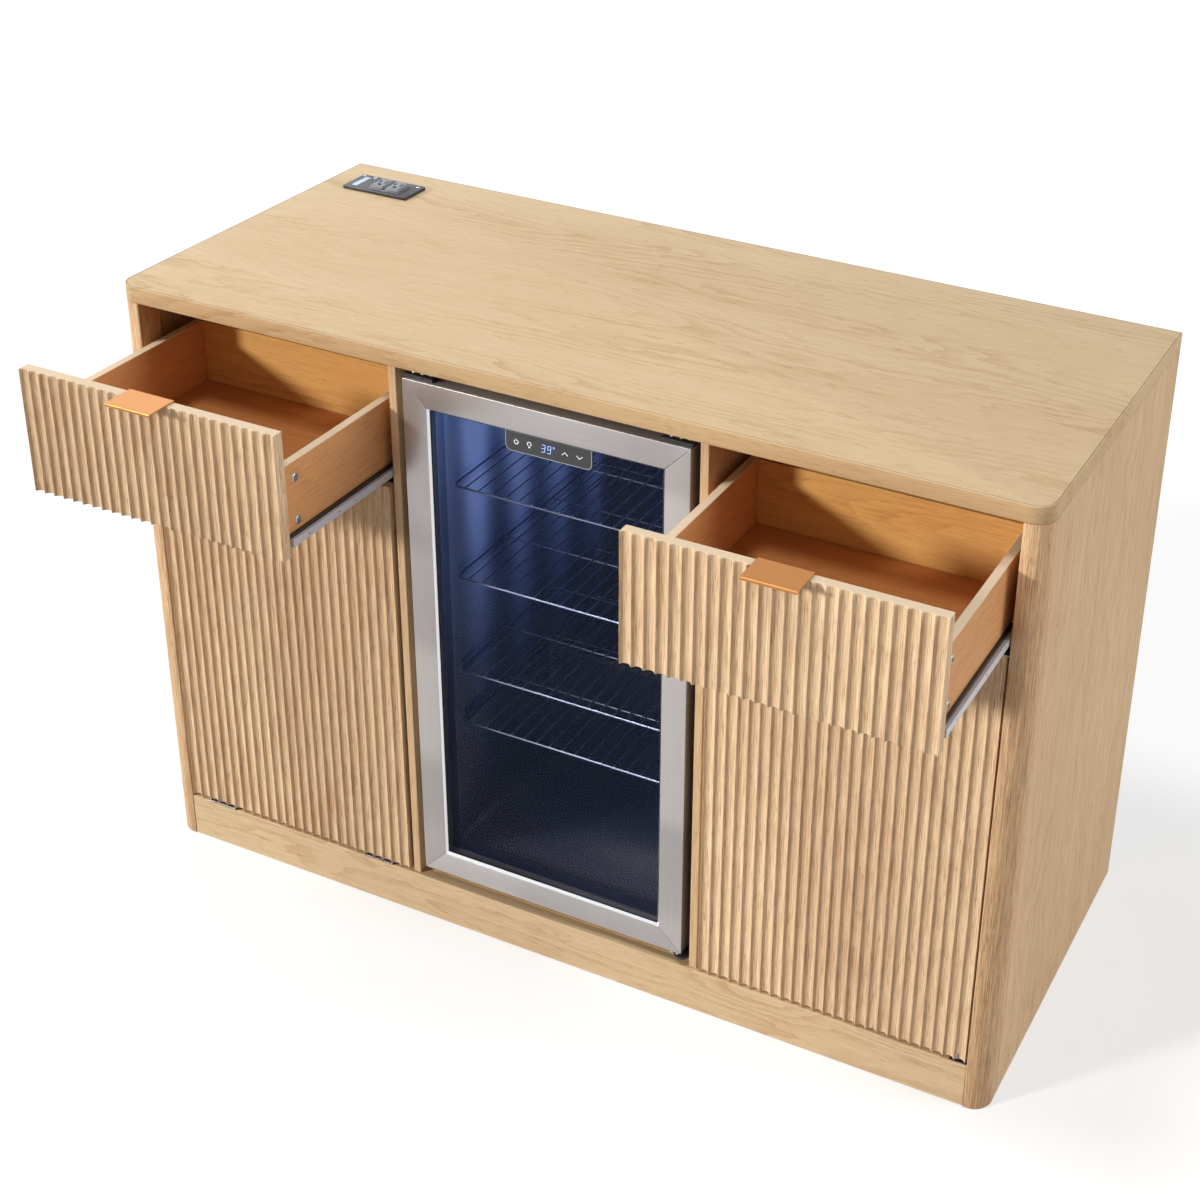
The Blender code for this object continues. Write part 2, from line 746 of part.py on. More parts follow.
def make_bin():
    """An open tub on the flap's back, tapered at the back so that it clears the opening as it tilts."""
    front = FRONT_BACK_Y + FIT
    low = LOWER_FRONT_BOTTOM + BIN_LIFT
    high = low + BIN_HEIGHT
    left = -FRONT_OUTER_X + BIN_SIDE_GAP
    right = -FRONT_INNER_X - BIN_SIDE_GAP
    outer = [
        (front, low),
        (front + BIN_FOOT_DEPTH, low),
        (front + BIN_DEPTH, high),
        (front, high),
    ]
    tub = prism("tilt_out_bin", [outer], left, right, FACING_SIDE, BIN_GREY)
    inner = [
        (front + BIN_WALL, low + BIN_WALL),
        (front + BIN_FOOT_DEPTH - BIN_WALL, low + BIN_WALL),
        (front + BIN_DEPTH - BIN_WALL, high),
        (front + BIN_DEPTH - BIN_WALL, high + BIN_WALL),
        (front + BIN_WALL, high + BIN_WALL),
    ]
    hollow = prism(
        "bin_hollow", [inner], left + BIN_WALL, right - BIN_WALL, FACING_SIDE, None
    )
    combine(tub, hollow, "DIFFERENCE")
    return tub


def make_flap():
    """The tilt-out flap. Returns the pieces that tilt."""
    plan = fluted_outline(FRONT_INNER_X, FRONT_OUTER_X, FRONT_Y, FRONT_BACK_Y)
    pieces = [
        prism(
            "flap_panel",
            [mirrored(plan, -1)],
            LOWER_FRONT_BOTTOM,
            LOWER_FRONT_TOP,
            FLAT,
            OAK,
        )
    ]
    for end, step in (("left", -1), ("right", 1)):
        reach = (FRONT_OUTER_X - FRONT_INNER_X) / 2 - FLAP_HINGE_INSET
        middle = FLAP_CENTRE_X + step * reach
        pieces.append(make_flap_hinge(f"flap_{end}_hinge", middle))
    pieces.append(make_bin())
    return pieces


def make_right_door():
    """The side-hung door with its two fixed pivots. Returns the piece that turns."""
    plan = fluted_outline(FRONT_INNER_X, FRONT_OUTER_X, FRONT_Y, FRONT_BACK_Y)
    door = prism(
        "right_door_panel", [plan], LOWER_FRONT_BOTTOM, LOWER_FRONT_TOP, FLAT, OAK
    )
    above_door = LOWER_FRONT_TOP + (GAP_UNDER_DRAWER - PIVOT_PLATE) / 2
    plates = (
        ("lower", LOWER_FRONT_BOTTOM, 1, KICK_HEIGHT + FIT),
        ("upper", LOWER_FRONT_TOP, -1, above_door),
    )
    for end, edge, inward, plate_z in plates:
        socket = cylinder(
            end + "_pivot_socket",
            PIVOT_RADIUS + PIVOT_CLEARANCE,
            (PIVOT_X, PIVOT_Y, edge - inward * PIVOT_REACH),
            (PIVOT_X, PIVOT_Y, edge + inward * (PIVOT_REACH + PIVOT_CLEARANCE)),
            None,
        )
        combine(door, socket, "DIFFERENCE")
        pin = cylinder(
            end + "_pivot_pin",
            PIVOT_RADIUS,
            (PIVOT_X, PIVOT_Y, plate_z + PIVOT_PLATE / 2),
            (PIVOT_X, PIVOT_Y, edge + inward * PIVOT_REACH),
            None,
        )
        # Each plate ends against the post, and the lower one lies on the kickboard.
        plate = board(
            f"door_{end}_pivot",
            (PIVOT_X - PIVOT_PLATE_TAIL, FRONT_Y + KICK_SETBACK + FIT, plate_z),
            (POST_INNER_X - FIT, FRONT_Y + PIVOT_PLATE_DEPTH, plate_z + PIVOT_PLATE),
            ZINC,
        )
        combine(plate, pin, "UNION")
    return [door]


def power_box_corner(sign, z, clearance=0.0):
    """A corner of the power module's box, made larger all round by the clearance."""
    return (
        POWER_X + sign * (POWER_BOX_WIDTH / 2 + clearance),
        POWER_Y + sign * (POWER_BOX_DEPTH / 2 + clearance),
        z,
    )


def make_power_module():
    """The black housing with its bezel on the top board, and the socket insert."""
    low = HEIGHT + FIT
    bezel_top = low + BEZEL_HEIGHT
    housing = board(
        "power_housing",
        (POWER_X - BEZEL_WIDTH / 2, POWER_Y - BEZEL_DEPTH / 2, low),
        (POWER_X + BEZEL_WIDTH / 2, POWER_Y + BEZEL_DEPTH / 2, bezel_top),
        BLACK,
    )
    # Only the four upper edges are chamfered.
    for edge in housing.data.edges:
        upper = all(housing.data.vertices[v].co.z > 0 for v in edge.vertices)
        weight = housing.data.attributes.get("bevel_weight_edge")
        if weight is None:
            weight = housing.data.attributes.new("bevel_weight_edge", "FLOAT", "EDGE")
        weight.data[edge.index].value = 1.0 if upper else 0.0
    bevel = housing.modifiers.new("chamfer", "BEVEL")
    bevel.width = BEZEL_CHAMFER
    bevel.segments = 1
    bevel.limit_method = "WEIGHT"
    box = board(
        "power_box",
        power_box_corner(-1, HEIGHT - POWER_BOX_DROP),
        power_box_corner(1, low + BEZEL_CHAMFER),
        None,
    )
    combine(housing, box, "UNION")
    field_x = POWER_X + SOCKET_FIELD_SHIFT
    floor = bezel_top - SOCKET_POCKET
    pocket = board(
        "socket_pocket",
        (field_x - SOCKET_FIELD_WIDTH / 2, POWER_Y - SOCKET_FIELD_DEPTH / 2, floor),
        (
            field_x + SOCKET_FIELD_WIDTH / 2,
            POWER_Y + SOCKET_FIELD_DEPTH / 2,
            bezel_top + SOCKET_RISE,
        ),
        None,
    )
    combine(housing, pocket, "DIFFERENCE")
    insert = board(
        "power_sockets",
        (
            field_x - SOCKET_FIELD_WIDTH / 2 + FIT,
            POWER_Y - SOCKET_FIELD_DEPTH / 2 + FIT,
            floor + FIT,
        ),
        (
            field_x + SOCKET_FIELD_WIDTH / 2 - FIT,
            POWER_Y + SOCKET_FIELD_DEPTH / 2 - FIT,
            bezel_top,
        ),
        BLACK,
    )
    face = bezel_top + SOCKET_RISE
    for number, step in enumerate((-1, 1)):
        middle = field_x + step * SOCKET_PITCH / 2
        block = board(
            f"socket_block_{number}",
            (middle - SOCKET_WIDTH / 2, POWER_Y - SOCKET_DEPTH / 2, floor + FIT),
            (middle + SOCKET_WIDTH / 2, POWER_Y + SOCKET_DEPTH / 2, face),
            None,
        )
        combine(insert, block, "UNION")
        for blade in (-1, 1):
            blade_x = middle + blade * BLADE_PITCH / 2
            slot = board(
                f"blade_slot_{number}_{blade + 1}",
                (blade_x - BLADE_WIDTH / 2, POWER_Y, face - BLADE_DEPTH),
                (blade_x + BLADE_WIDTH / 2, POWER_Y + BLADE_LENGTH, face + BLADE_DEPTH),
                None,
            )
            combine(insert, slot, "DIFFERENCE")
        earth = cylinder(
            f"earth_hole_{number}",
            EARTH_RADIUS,
            (middle, POWER_Y - BLADE_LENGTH, face - BLADE_DEPTH),
            (middle, POWER_Y - BLADE_LENGTH, face + BLADE_DEPTH),
            None,
            12,
        )
        combine(insert, earth, "DIFFERENCE")


def cavity_outline(inset, front_y):
    """Side view of the fridge's inside, with the step over the machine bay."""
    return [
        (front_y, CAVITY_BOTTOM + inset),
        (STEP_Y - inset, CAVITY_BOTTOM + inset),
        (STEP_Y - inset, STEP_Z + inset),
        (CAVITY_BACK_Y - inset, STEP_Z + inset),
        (CAVITY_BACK_Y - inset, CAVITY_TOP - inset),
        (front_y, CAVITY_TOP - inset),
    ]


def make_fridge_body():
    half = FRIDGE_WIDTH / 2
    case = board(
        "fridge_cabinet",
        (-half, FRIDGE_FRONT_Y, FRIDGE_BOTTOM),
        (half, FRIDGE_BACK_Y, FRIDGE_TOP),
        BLACK_STEEL,
    )
    before = FRIDGE_FRONT_Y - GASKET_THICKNESS
    cavity = prism(
        "fridge_cavity",
        [cavity_outline(0, before)],
        -CAVITY_HALF,
        CAVITY_HALF,
        FACING_SIDE,
        None,
    )
    combine(case, cavity, "DIFFERENCE")
    bay = board(
        "machine_bay",
        (-CAVITY_HALF, BAY_FRONT_Y, BAY_FLOOR_Z),
        (CAVITY_HALF, FRIDGE_BACK_Y + MACHINE_BAY_DEPTH, BAY_TOP_Z),
        None,
    )
    combine(case, bay, "DIFFERENCE")
    rear_skid = board(
        "rear_skid",
        (-half + FOOT_RADIUS, BAY_FRONT_Y, KICK_HEIGHT + FIT),
        (half - FOOT_RADIUS, BAY_FRONT_Y + 2 * FOOT_RADIUS, BAY_FLOOR_Z),
        None,
    )
    combine(case, rear_skid, "UNION")
    liner = prism(
        "fridge_liner",
        [cavity_outline(FIT, FRIDGE_FRONT_Y)],
        -CAVITY_HALF + FIT,
        CAVITY_HALF - FIT,
        FACING_SIDE,
        LINER_GREY,
    )
    hollow = prism(
        "liner_hollow",
        [cavity_outline(LINER_SKIN, before)],
        -CAVITY_HALF + LINER_SKIN,
        CAVITY_HALF - LINER_SKIN,
        FACING_SIDE,
        None,
    )
    combine(liner, hollow, "DIFFERENCE")


def make_fridge_shelves():
    half = CAVITY_HALF - LINER_SKIN - FIT
    front = FRIDGE_FRONT_Y + FRIDGE_SHELF_SETBACK
    back = CAVITY_BACK_Y - LINER_SKIN - FIT
    rail = SHELF_WIRE * 1.5
    slots = max(1, round((2 * half - 2 * rail + SHELF_WIRE) / SHELF_BAR_PITCH))
    pitch = (2 * half - 2 * rail + SHELF_WIRE) / slots
    outlines = [rectangle(-half, front, half, back)]
    for slot in range(slots):
        start = -half + rail + slot * pitch
        end = start + pitch - SHELF_WIRE
        outlines.append(rectangle(start, front + rail, end, back - rail))
    for number, rise in enumerate(FRIDGE_SHELF_RISES, start=1):
        top = FRIDGE_BOTTOM + rise
        prism(f"wire_shelf_{number}", outlines, top - SHELF_WIRE, top, FLAT, ZINC)


def make_compressor():
    """A turned pot with a wide foot, standing in the machine bay."""
    foot_z = BAY_FLOOR_Z + FIT
    body = COMPRESSOR_HEIGHT - COMPRESSOR_RADIUS / 2
    profile = [(0.0, COMPRESSOR_HEIGHT)]
    for step in range(1, 7):
        angle = math.radians(90 * (1 - step / 6))
        profile.append(
            (
                COMPRESSOR_RADIUS * math.cos(angle),
                body + COMPRESSOR_RADIUS / 2 * math.sin(angle),
            )
        )
    profile += [
        (COMPRESSOR_RADIUS, COMPRESSOR_FOOT),
        (COMPRESSOR_FOOT_RADIUS, COMPRESSOR_FOOT),
        (COMPRESSOR_FOOT_RADIUS, 0.0),
        (0.0, 0.0),
    ]
    mesh = bpy.data.meshes.new("compressor")
    shape = bmesh.new()
    points = [shape.verts.new((r, 0, z)) for r, z in profile]
    for first, second in zip(points, points[1:]):
        shape.edges.new((first, second))
    shape.to_mesh(mesh)
    shape.free()
    pot = add_object("compressor", mesh, BLACK_STEEL)
    pot.location = (0, (BAY_FRONT_Y + FRIDGE_BACK_Y) / 2, foot_z)
    turn = pot.modifiers.new("turned", "SCREW")
    turn.steps = 24
    turn.render_steps = 24
    turn.use_merge_vertices = True
    turn.merge_threshold = 0.0001
    turn.use_smooth_shade = True


def make_fridge_door():
    """Frame, glass, seal and touch panel. Returns the pieces that turn."""
    half = FRIDGE_WIDTH / 2
    window = half - DOOR_STILE
    low = DOOR_BOTTOM + DOOR_STILE
    high = FRIDGE_TOP - DOOR_STILE
    frame = prism(
        "fridge_door_frame",
        [
            rectangle(-half, DOOR_BOTTOM, half, FRIDGE_TOP),
            rectangle(-window, low, window, high),
        ],
        DOOR_FRONT_Y,
        DOOR_BACK_Y,
        FACING_FRONT,
        STAINLESS,
    )
    for end, edge, inward in (("lower", DOOR_BOTTOM, 1), ("upper", FRIDGE_TOP, -1)):
        socket = cylinder(
            end + "_door_socket",
            DOOR_PIN_RADIUS + PIVOT_CLEARANCE,
            (DOOR_PIVOT_X, DOOR_PIVOT_Y, edge - inward * DOOR_PIN_REACH),
            (
                DOOR_PIVOT_X,
                DOOR_PIVOT_Y,
                edge + inward * (DOOR_PIN_REACH + PIVOT_CLEARANCE),
            ),
            None,
        )
        combine(frame, socket, "DIFFERENCE")
    glass_y = DOOR_FRONT_Y + GLASS_RECESS
    glass = board(
        "fridge_door_glass",
        (-window + FIT, glass_y, low + FIT),
        (window - FIT, glass_y + GLASS_THICKNESS, high - FIT),
        GLASS,
    )
    edge = GASKET_INSET
    seal = GASKET_INSET + GASKET_WIDTH
    gasket = prism(
        "fridge_door_gasket",
        [
            rectangle(-half + edge, DOOR_BOTTOM + edge, half - edge, FRIDGE_TOP - edge),
            rectangle(-half + seal, DOOR_BOTTOM + seal, half - seal, FRIDGE_TOP - seal),
        ],
        GASKET_Y,
        GASKET_Y + GASKET_THICKNESS,
        FACING_FRONT,
        RUBBER,
    )
    panel = board(
        "control_panel",
        (
            PANEL_OFFSET - PANEL_WIDTH / 2,
            glass_y - FIT - PANEL_THICKNESS,
            high - FIT - PANEL_HEIGHT,
        ),
        (PANEL_OFFSET + PANEL_WIDTH / 2, glass_y - FIT, high - FIT),
        BLACK,
    )
    return [frame, glass, gasket, panel]


def make_fridge_hinges():
    """The plates over the door's top corners and the hinge under its lower right one."""
    half = FRIDGE_WIDTH / 2
    tail = FRIDGE_FRONT_Y + BRACKET_TAIL
    low = FRIDGE_TOP + FIT
    for side, name in ((-1, "upper_left_bracket"), (1, "upper_hinge_bracket")):
        near = side * (half - BRACKET_WIDTH)
        far = side * half
        plate = board(
            name,
            (min(near, far), DOOR_FRONT_Y + BRACKET_NOSE, low),
            (max(near, far), tail, low + BRACKET_THICKNESS),
            BLACK_STEEL,
        )
        if side > 0:
            upper_pin = cylinder(
                "upper_hinge_pin",
                DOOR_PIN_RADIUS,
                (DOOR_PIVOT_X, DOOR_PIVOT_Y, FRIDGE_TOP - DOOR_PIN_REACH),
                (DOOR_PIVOT_X, DOOR_PIVOT_Y, low + BRACKET_THICKNESS / 2),
                None,
            )
            combine(plate, upper_pin, "UNION")
    top = FRIDGE_BOTTOM - FIT
    tongue_x = DIVIDER_INNER_X - TONGUE_GAP - TONGUE_RADIUS
    plan = arc((tongue_x, DOOR_PIVOT_Y), TONGUE_RADIUS, 180, 360, 12)
    plan += [(tongue_x + TONGUE_RADIUS, tail), (half - BRACKET_WIDTH, tail)]
    plan.append((half - BRACKET_WIDTH, FRIDGE_FRONT_Y))
    tongue = prism(
        "lower_hinge_bracket", [plan], top - TONGUE_THICKNESS, top, FLAT, BLACK_STEEL
    )
    middle = top - TONGUE_THICKNESS / 2
    boss = cylinder(
        "lower_hinge_boss",
        DOOR_PIN_RADIUS * 2,
        (DOOR_PIVOT_X, DOOR_PIVOT_Y, middle),
        (DOOR_PIVOT_X, DOOR_PIVOT_Y, DOOR_BOTTOM - FIT),
        None,
    )
    lower_pin = cylinder(
        "lower_hinge_pin",
        DOOR_PIN_RADIUS,
        (DOOR_PIVOT_X, DOOR_PIVOT_Y, middle),
        (DOOR_PIVOT_X, DOOR_PIVOT_Y, DOOR_BOTTOM + DOOR_PIN_REACH),
        None,
    )
    foot_x = half - FOOT_RADIUS - FIT
    foot_y = tail - FOOT_RADIUS
    foot_z = KICK_HEIGHT + FIT
    right_foot = cylinder(
        "right_front_foot",
        FOOT_RADIUS,
        (foot_x, foot_y, foot_z),
        (foot_x, foot_y, middle),
        None,
    )
    for joined in (boss, lower_pin, right_foot):
        combine(tongue, joined, "UNION")
    cylinder(
        "left_front_foot",
        FOOT_RADIUS,
        (-foot_x, foot_y, foot_z),
        (-foot_x, foot_y, top),
        BLACK,
    )


def hang_on(axis_name, place, pieces):
    """Parent the pieces to an empty on their joint's axis, where they are."""
    axis = bpy.data.objects.new(axis_name, None)
    axis.location = place
    cabinet.objects.link(axis)
    bpy.context.view_layer.update()
    for piece in pieces:
        piece.parent = axis
        piece.matrix_parent_inverse = axis.matrix_world.inverted()


clear_scene()
cabinet = make_collection("coffee_bar_cabinet")
cutters = make_collection("cutters", helpers=True)

make_top()
make_kickboard()
make_bottom_panel()
make_back_panel()
make_right_shelf()
make_power_module()
for half_side in (-1, 1):
    make_post(half_side)
    make_side_panel(half_side)
    make_divider(half_side)
    make_packer(half_side)

make_fridge_body()
make_fridge_shelves()
make_compressor()
make_fridge_hinges()

drawer_middle = (BOX_INNER_X + BOX_OUTER_X) / 2
for half_side, pulled in ((-1, LEFT_PULLED_OUT), (1, RIGHT_PULLED_OUT)):
    hang_on(
        side_name(half_side) + "_drawer_slide",
        (half_side * drawer_middle, FRONT_Y - pulled, BOX_BOTTOM),
        make_drawer(half_side, pulled),
    )
hang_on("flap_hinge", (FLAP_CENTRE_X, FLAP_AXIS_Y, FLAP_AXIS_Z), make_flap())
hang_on("right_door_hinge", (PIVOT_X, PIVOT_Y, LOWER_FRONT_BOTTOM), make_right_door())
hang_on("fridge_door_hinge", (DOOR_PIVOT_X, DOOR_PIVOT_Y, DOOR_BOTTOM), make_fridge_door())
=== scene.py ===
"""Looks of the coffee bar cabinet: finishes, rounded boards, hardware and fridge details.

Metres, +X to the viewer's right, +Z up, the fronts face -Y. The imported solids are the
frame, and every piece here is placed from their corners.
"""

from __future__ import annotations

import functools
import logging
import math
from dataclasses import dataclass, replace
from enum import Enum
from typing import Any, Callable, Iterable, Sequence

import bmesh
import bpy
from mathutils import Matrix, Vector

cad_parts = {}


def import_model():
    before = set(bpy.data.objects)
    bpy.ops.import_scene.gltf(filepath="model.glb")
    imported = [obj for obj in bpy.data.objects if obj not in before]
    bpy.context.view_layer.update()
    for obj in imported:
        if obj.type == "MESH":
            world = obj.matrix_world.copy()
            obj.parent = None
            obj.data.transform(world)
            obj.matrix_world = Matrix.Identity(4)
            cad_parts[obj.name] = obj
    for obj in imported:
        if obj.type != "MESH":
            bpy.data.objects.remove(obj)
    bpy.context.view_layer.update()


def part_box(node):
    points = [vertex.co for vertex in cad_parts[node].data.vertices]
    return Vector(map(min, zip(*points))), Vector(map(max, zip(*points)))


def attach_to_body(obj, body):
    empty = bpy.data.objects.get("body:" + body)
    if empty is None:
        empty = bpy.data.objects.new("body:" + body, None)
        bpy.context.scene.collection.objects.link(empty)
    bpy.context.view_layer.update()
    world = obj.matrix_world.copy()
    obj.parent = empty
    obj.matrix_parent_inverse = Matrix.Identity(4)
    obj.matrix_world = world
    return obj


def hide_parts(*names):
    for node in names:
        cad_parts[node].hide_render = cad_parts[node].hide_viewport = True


log = logging.getLogger("coffee_bar_cabinet")

Point = tuple[float, float, float]
Flat = tuple[float, float]
Colour = tuple[float, float, float]

SMOOTH_TO = 35.0
ROUNDED_FROM = 30.0
PROUD = 0.0002


class Axis(Enum):
    """An axis that a grain, a brushing or an outline runs along."""

    X = 0
    Y = 1
    Z = 2


class Body(Enum):
    """The bodies that pieces ride on."""

    CARCASS = "carcass"
    FRIDGE_DOOR = "fridge_door"
    LEFT_DRAWER = "left_drawer"
    RIGHT_DRAWER = "right_drawer"
    FLAP = "flap"
    RIGHT_DOOR = "right_door"


class Side(Enum):
    """The two halves of the cabinet."""

    LEFT = -1
    RIGHT = 1

    @property
    def label(self) -> str:
        """The side's name as the nodes have it."""
        return self.name.lower()


def tint(red: int, green: int, blue: int) -> Colour:
    """A colour as a screen shows it, 0 to 255, as linear values.

    Args:
        red: Red, 0 to 255.
        green: Green, 0 to 255.
        blue: Blue, 0 to 255.

    Returns:
        The linear colour.
    """
    values = []
    for level in (red, green, blue):
        share = level / 255
        low = share / 12.92
        values.append(low if share <= 0.04045 else ((share + 0.055) / 1.055) ** 2.4)
    return (values[0], values[1], values[2])


def forward(operation: str) -> Callable[[Value, Value | float], Value]:
    """An operator that adds a Math node with its own value first."""
    return lambda own, other: own.math(operation, other)


def reflected(operation: str) -> Callable[[Value, float], Value]:
    """An operator that adds a Math node with a number before its own value."""
    kind = {"operation": operation}
    return lambda own, number: own.graph.value("ShaderNodeMath", kind, {0: number, 1: own})


class Value:
    """A number socket whose Python operators add Math nodes."""

    def __init__(self, graph: Graph, socket: bpy.types.NodeSocket) -> None:
        """Wrap a socket of a graph."""
        self.graph = graph
        self.socket = socket

    def math(self, operation: str, *others: Value | float) -> Value:
        """Add a Math node with this value first.

        Args:
            operation: The node's operation.
            others: Its other operands.

        Returns:
            The node's result.
        """
        inputs = dict(enumerate((self, *others)))
        return self.graph.value("ShaderNodeMath", {"operation": operation}, inputs)

    __add__, __radd__ = forward("ADD"), reflected("ADD")
    __sub__, __rsub__ = forward("SUBTRACT"), reflected("SUBTRACT")
    __mul__, __rmul__ = forward("MULTIPLY"), reflected("MULTIPLY")
    __truediv__, __rtruediv__ = forward("DIVIDE"), reflected("DIVIDE")
    __pow__ = forward("POWER")

    def __abs__(self) -> Value:
        """Size without its sign."""
        return self.math("ABSOLUTE")

    def ramp(self, low: float, high: float) -> Value:
        """A smooth step.

        Args:
            low: Where it is 0.
            high: Where it is 1.

        Returns:
            The step at this value.
        """
        inputs = {"Value": self, "From Min": low, "From Max": high}
        settings = {"interpolation_type": "SMOOTHSTEP"}
        return self.graph.value("ShaderNodeMapRange", settings, inputs)


class Graph:
    """Adds nodes to a shader or a geometry tree."""

    def __init__(self, tree: bpy.types.NodeTree) -> None:
        """Work on this tree."""
        self.tree = tree

    def feed(self, socket: bpy.types.NodeSocket, given: Any) -> None:
        """Link or set one input.

        Args:
            socket: The input.
            given: A Value, a socket, several of them, or a constant.
        """
        if isinstance(given, list):
            for one in given:
                self.feed(socket, one)
        elif isinstance(given, Value):
            self.tree.links.new(given.socket, socket)
        elif isinstance(given, bpy.types.NodeSocket):
            self.tree.links.new(given, socket)
        else:
            socket.default_value = given

    def node(self, kind: str, settings: dict[str, Any] | None = None,
             inputs: dict[str | int, Any] | None = None) -> bpy.types.Node:
        """Add any node: its settings come first, then its inputs.

        Args:
            kind: The node's type.
            settings: Its own settings.
            inputs: Values or links by socket name or number.

        Returns:
            The new node.
        """
        made = self.tree.nodes.new(kind)
        for key, setting in (settings or {}).items():
            setattr(made, key, setting)
        for key, given in (inputs or {}).items():
            self.feed(made.inputs[key], given)
        return made

    def value(self, kind: str, settings: dict[str, Any] | None = None,
              inputs: dict[str | int, Any] | None = None, output: str | int = 0) -> Value:
        """Add a node and wrap one of its outputs."""
        return Value(self, self.node(kind, settings, inputs).outputs[output])

    def geo(self, kind: str, settings: dict[str, Any] | None = None, **inputs: Any) -> Any:
        """Add a geometry node and take its first output, with _ for a space in a name."""
        named = {key.replace("_", " "): given for key, given in inputs.items()}
        return self.node("GeometryNode" + kind, settings, named).outputs[0]

    def vector(self, x: Any, y: Any, z: Any) -> Value:
        """Join three values into a vector."""
        return self.value("ShaderNodeCombineXYZ", None, {0: x, 1: y, 2: z})

    def split(self, vector: Any) -> list[Value]:
        """The three parts of a vector."""
        made = self.node("ShaderNodeSeparateXYZ", None, {0: vector})
        return [Value(self, output) for output in made.outputs]

    def seen(self) -> Value:
        """1 for the rays that show a thing: straight, mirrored or through glass.

        Returns:
            1 for those rays and 0 for the rest.
        """
        path = self.node("ShaderNodeLightPath")
        shown = Value(self, path.outputs["Is Camera Ray"])
        for kind in ("Is Glossy Ray", "Is Transmission Ray"):
            shown = shown.math("MAXIMUM", Value(self, path.outputs[kind]))
        return shown


class ShaderGraph(Graph):
    """The nodes of one material, around a Principled shader."""

    def __init__(self, name: str) -> None:
        """Start a material with an empty tree but for its shader.

        Args:
            name: The name of the material.
        """
        self.material = bpy.data.materials.new(name)
        self.material.use_nodes = True
        super().__init__(self.material.node_tree)
        self.shader = self.tree.nodes["Principled BSDF"]
        place = self.node("ShaderNodeTexCoord").outputs["Object"]
        self.place = place
        self.x, self.y, self.z = self.split(place)

    def along(self, axis: Axis) -> tuple[Value, Value, Value]:
        """The coordinate along an axis, then the two across it.

        Args:
            axis: The axis.

        Returns:
            The three coordinates.
        """
        parts = (self.x, self.y, self.z)
        start = axis.value
        return parts[start], parts[(start + 1) % 3], parts[(start + 2) % 3]

    def noise(
        self, vector: Any, scale: float, detail: float = 2.0, rough: float = 0.5
    ) -> Value:
        """A noise from 0 to 1 over a vector.

        Args:
            vector: The place that it is read at.
            scale: Its scale.
            detail: Its layers.
            rough: How strong each finer layer is.

        Returns:
            The noise.
        """
        return self.value(
            "ShaderNodeTexNoise",
            None,
            {"Vector": vector, "Scale": scale, "Detail": detail, "Roughness": rough},
        )

    def mix(self, share: Any, first: Any, second: Any, blend: str = "MIX") -> Value:
        """Mix two colours.

        Args:
            share: How much of the second, 0 to 1.
            first: A colour or a link.
            second: A colour or a link.
            blend: The blend type.

        Returns:
            The mixed colour.
        """
        colours = [
            (*c, 1) if isinstance(c, tuple) and len(c) == 3 else c for c in (first, second)
        ]
        return self.value(
            "ShaderNodeMix",
            {"data_type": "RGBA", "blend_type": blend},
            {0: share, 6: colours[0], 7: colours[1]},
            2,
        )

    def bump(self, height: Value, depth: float, strength: float = 1.0) -> None:
        """Raise the surface by a height of 0 to 1 times a depth.

        Args:
            height: The height, 0 to 1.
            depth: The depth in metres.
            strength: How much of it shows.
        """
        made = self.node(
            "ShaderNodeBump",
            None,
            {"Height": height, "Distance": depth, "Strength": strength},
        )
        self.feed(self.shader.inputs["Normal"], made.outputs[0])

    def set(self, **inputs: Any) -> None:
        """Set or link the shader's inputs, with _ for a space in a name."""
        for key, given in inputs.items():
            name = key.replace("_", " ")
            if isinstance(given, tuple) and len(given) == 3:
                given = (*given, 1)
            self.feed(self.shader.inputs[name], given)


@dataclass(frozen=True)
class Finish:
    """A surface finish, made into a material when first used."""

    name: str

    def paint(self, graph: ShaderGraph) -> None:
        """Set the shader up. Each kind of finish does this its own way."""
        raise NotImplementedError


@functools.cache
def material_of(finish: Finish) -> bpy.types.Material:
    """The material of a finish, one for each.

    Args:
        finish: The finish.

    Returns:
        Its material.
    """
    graph = ShaderGraph(finish.name)
    finish.paint(graph)
    return graph.material


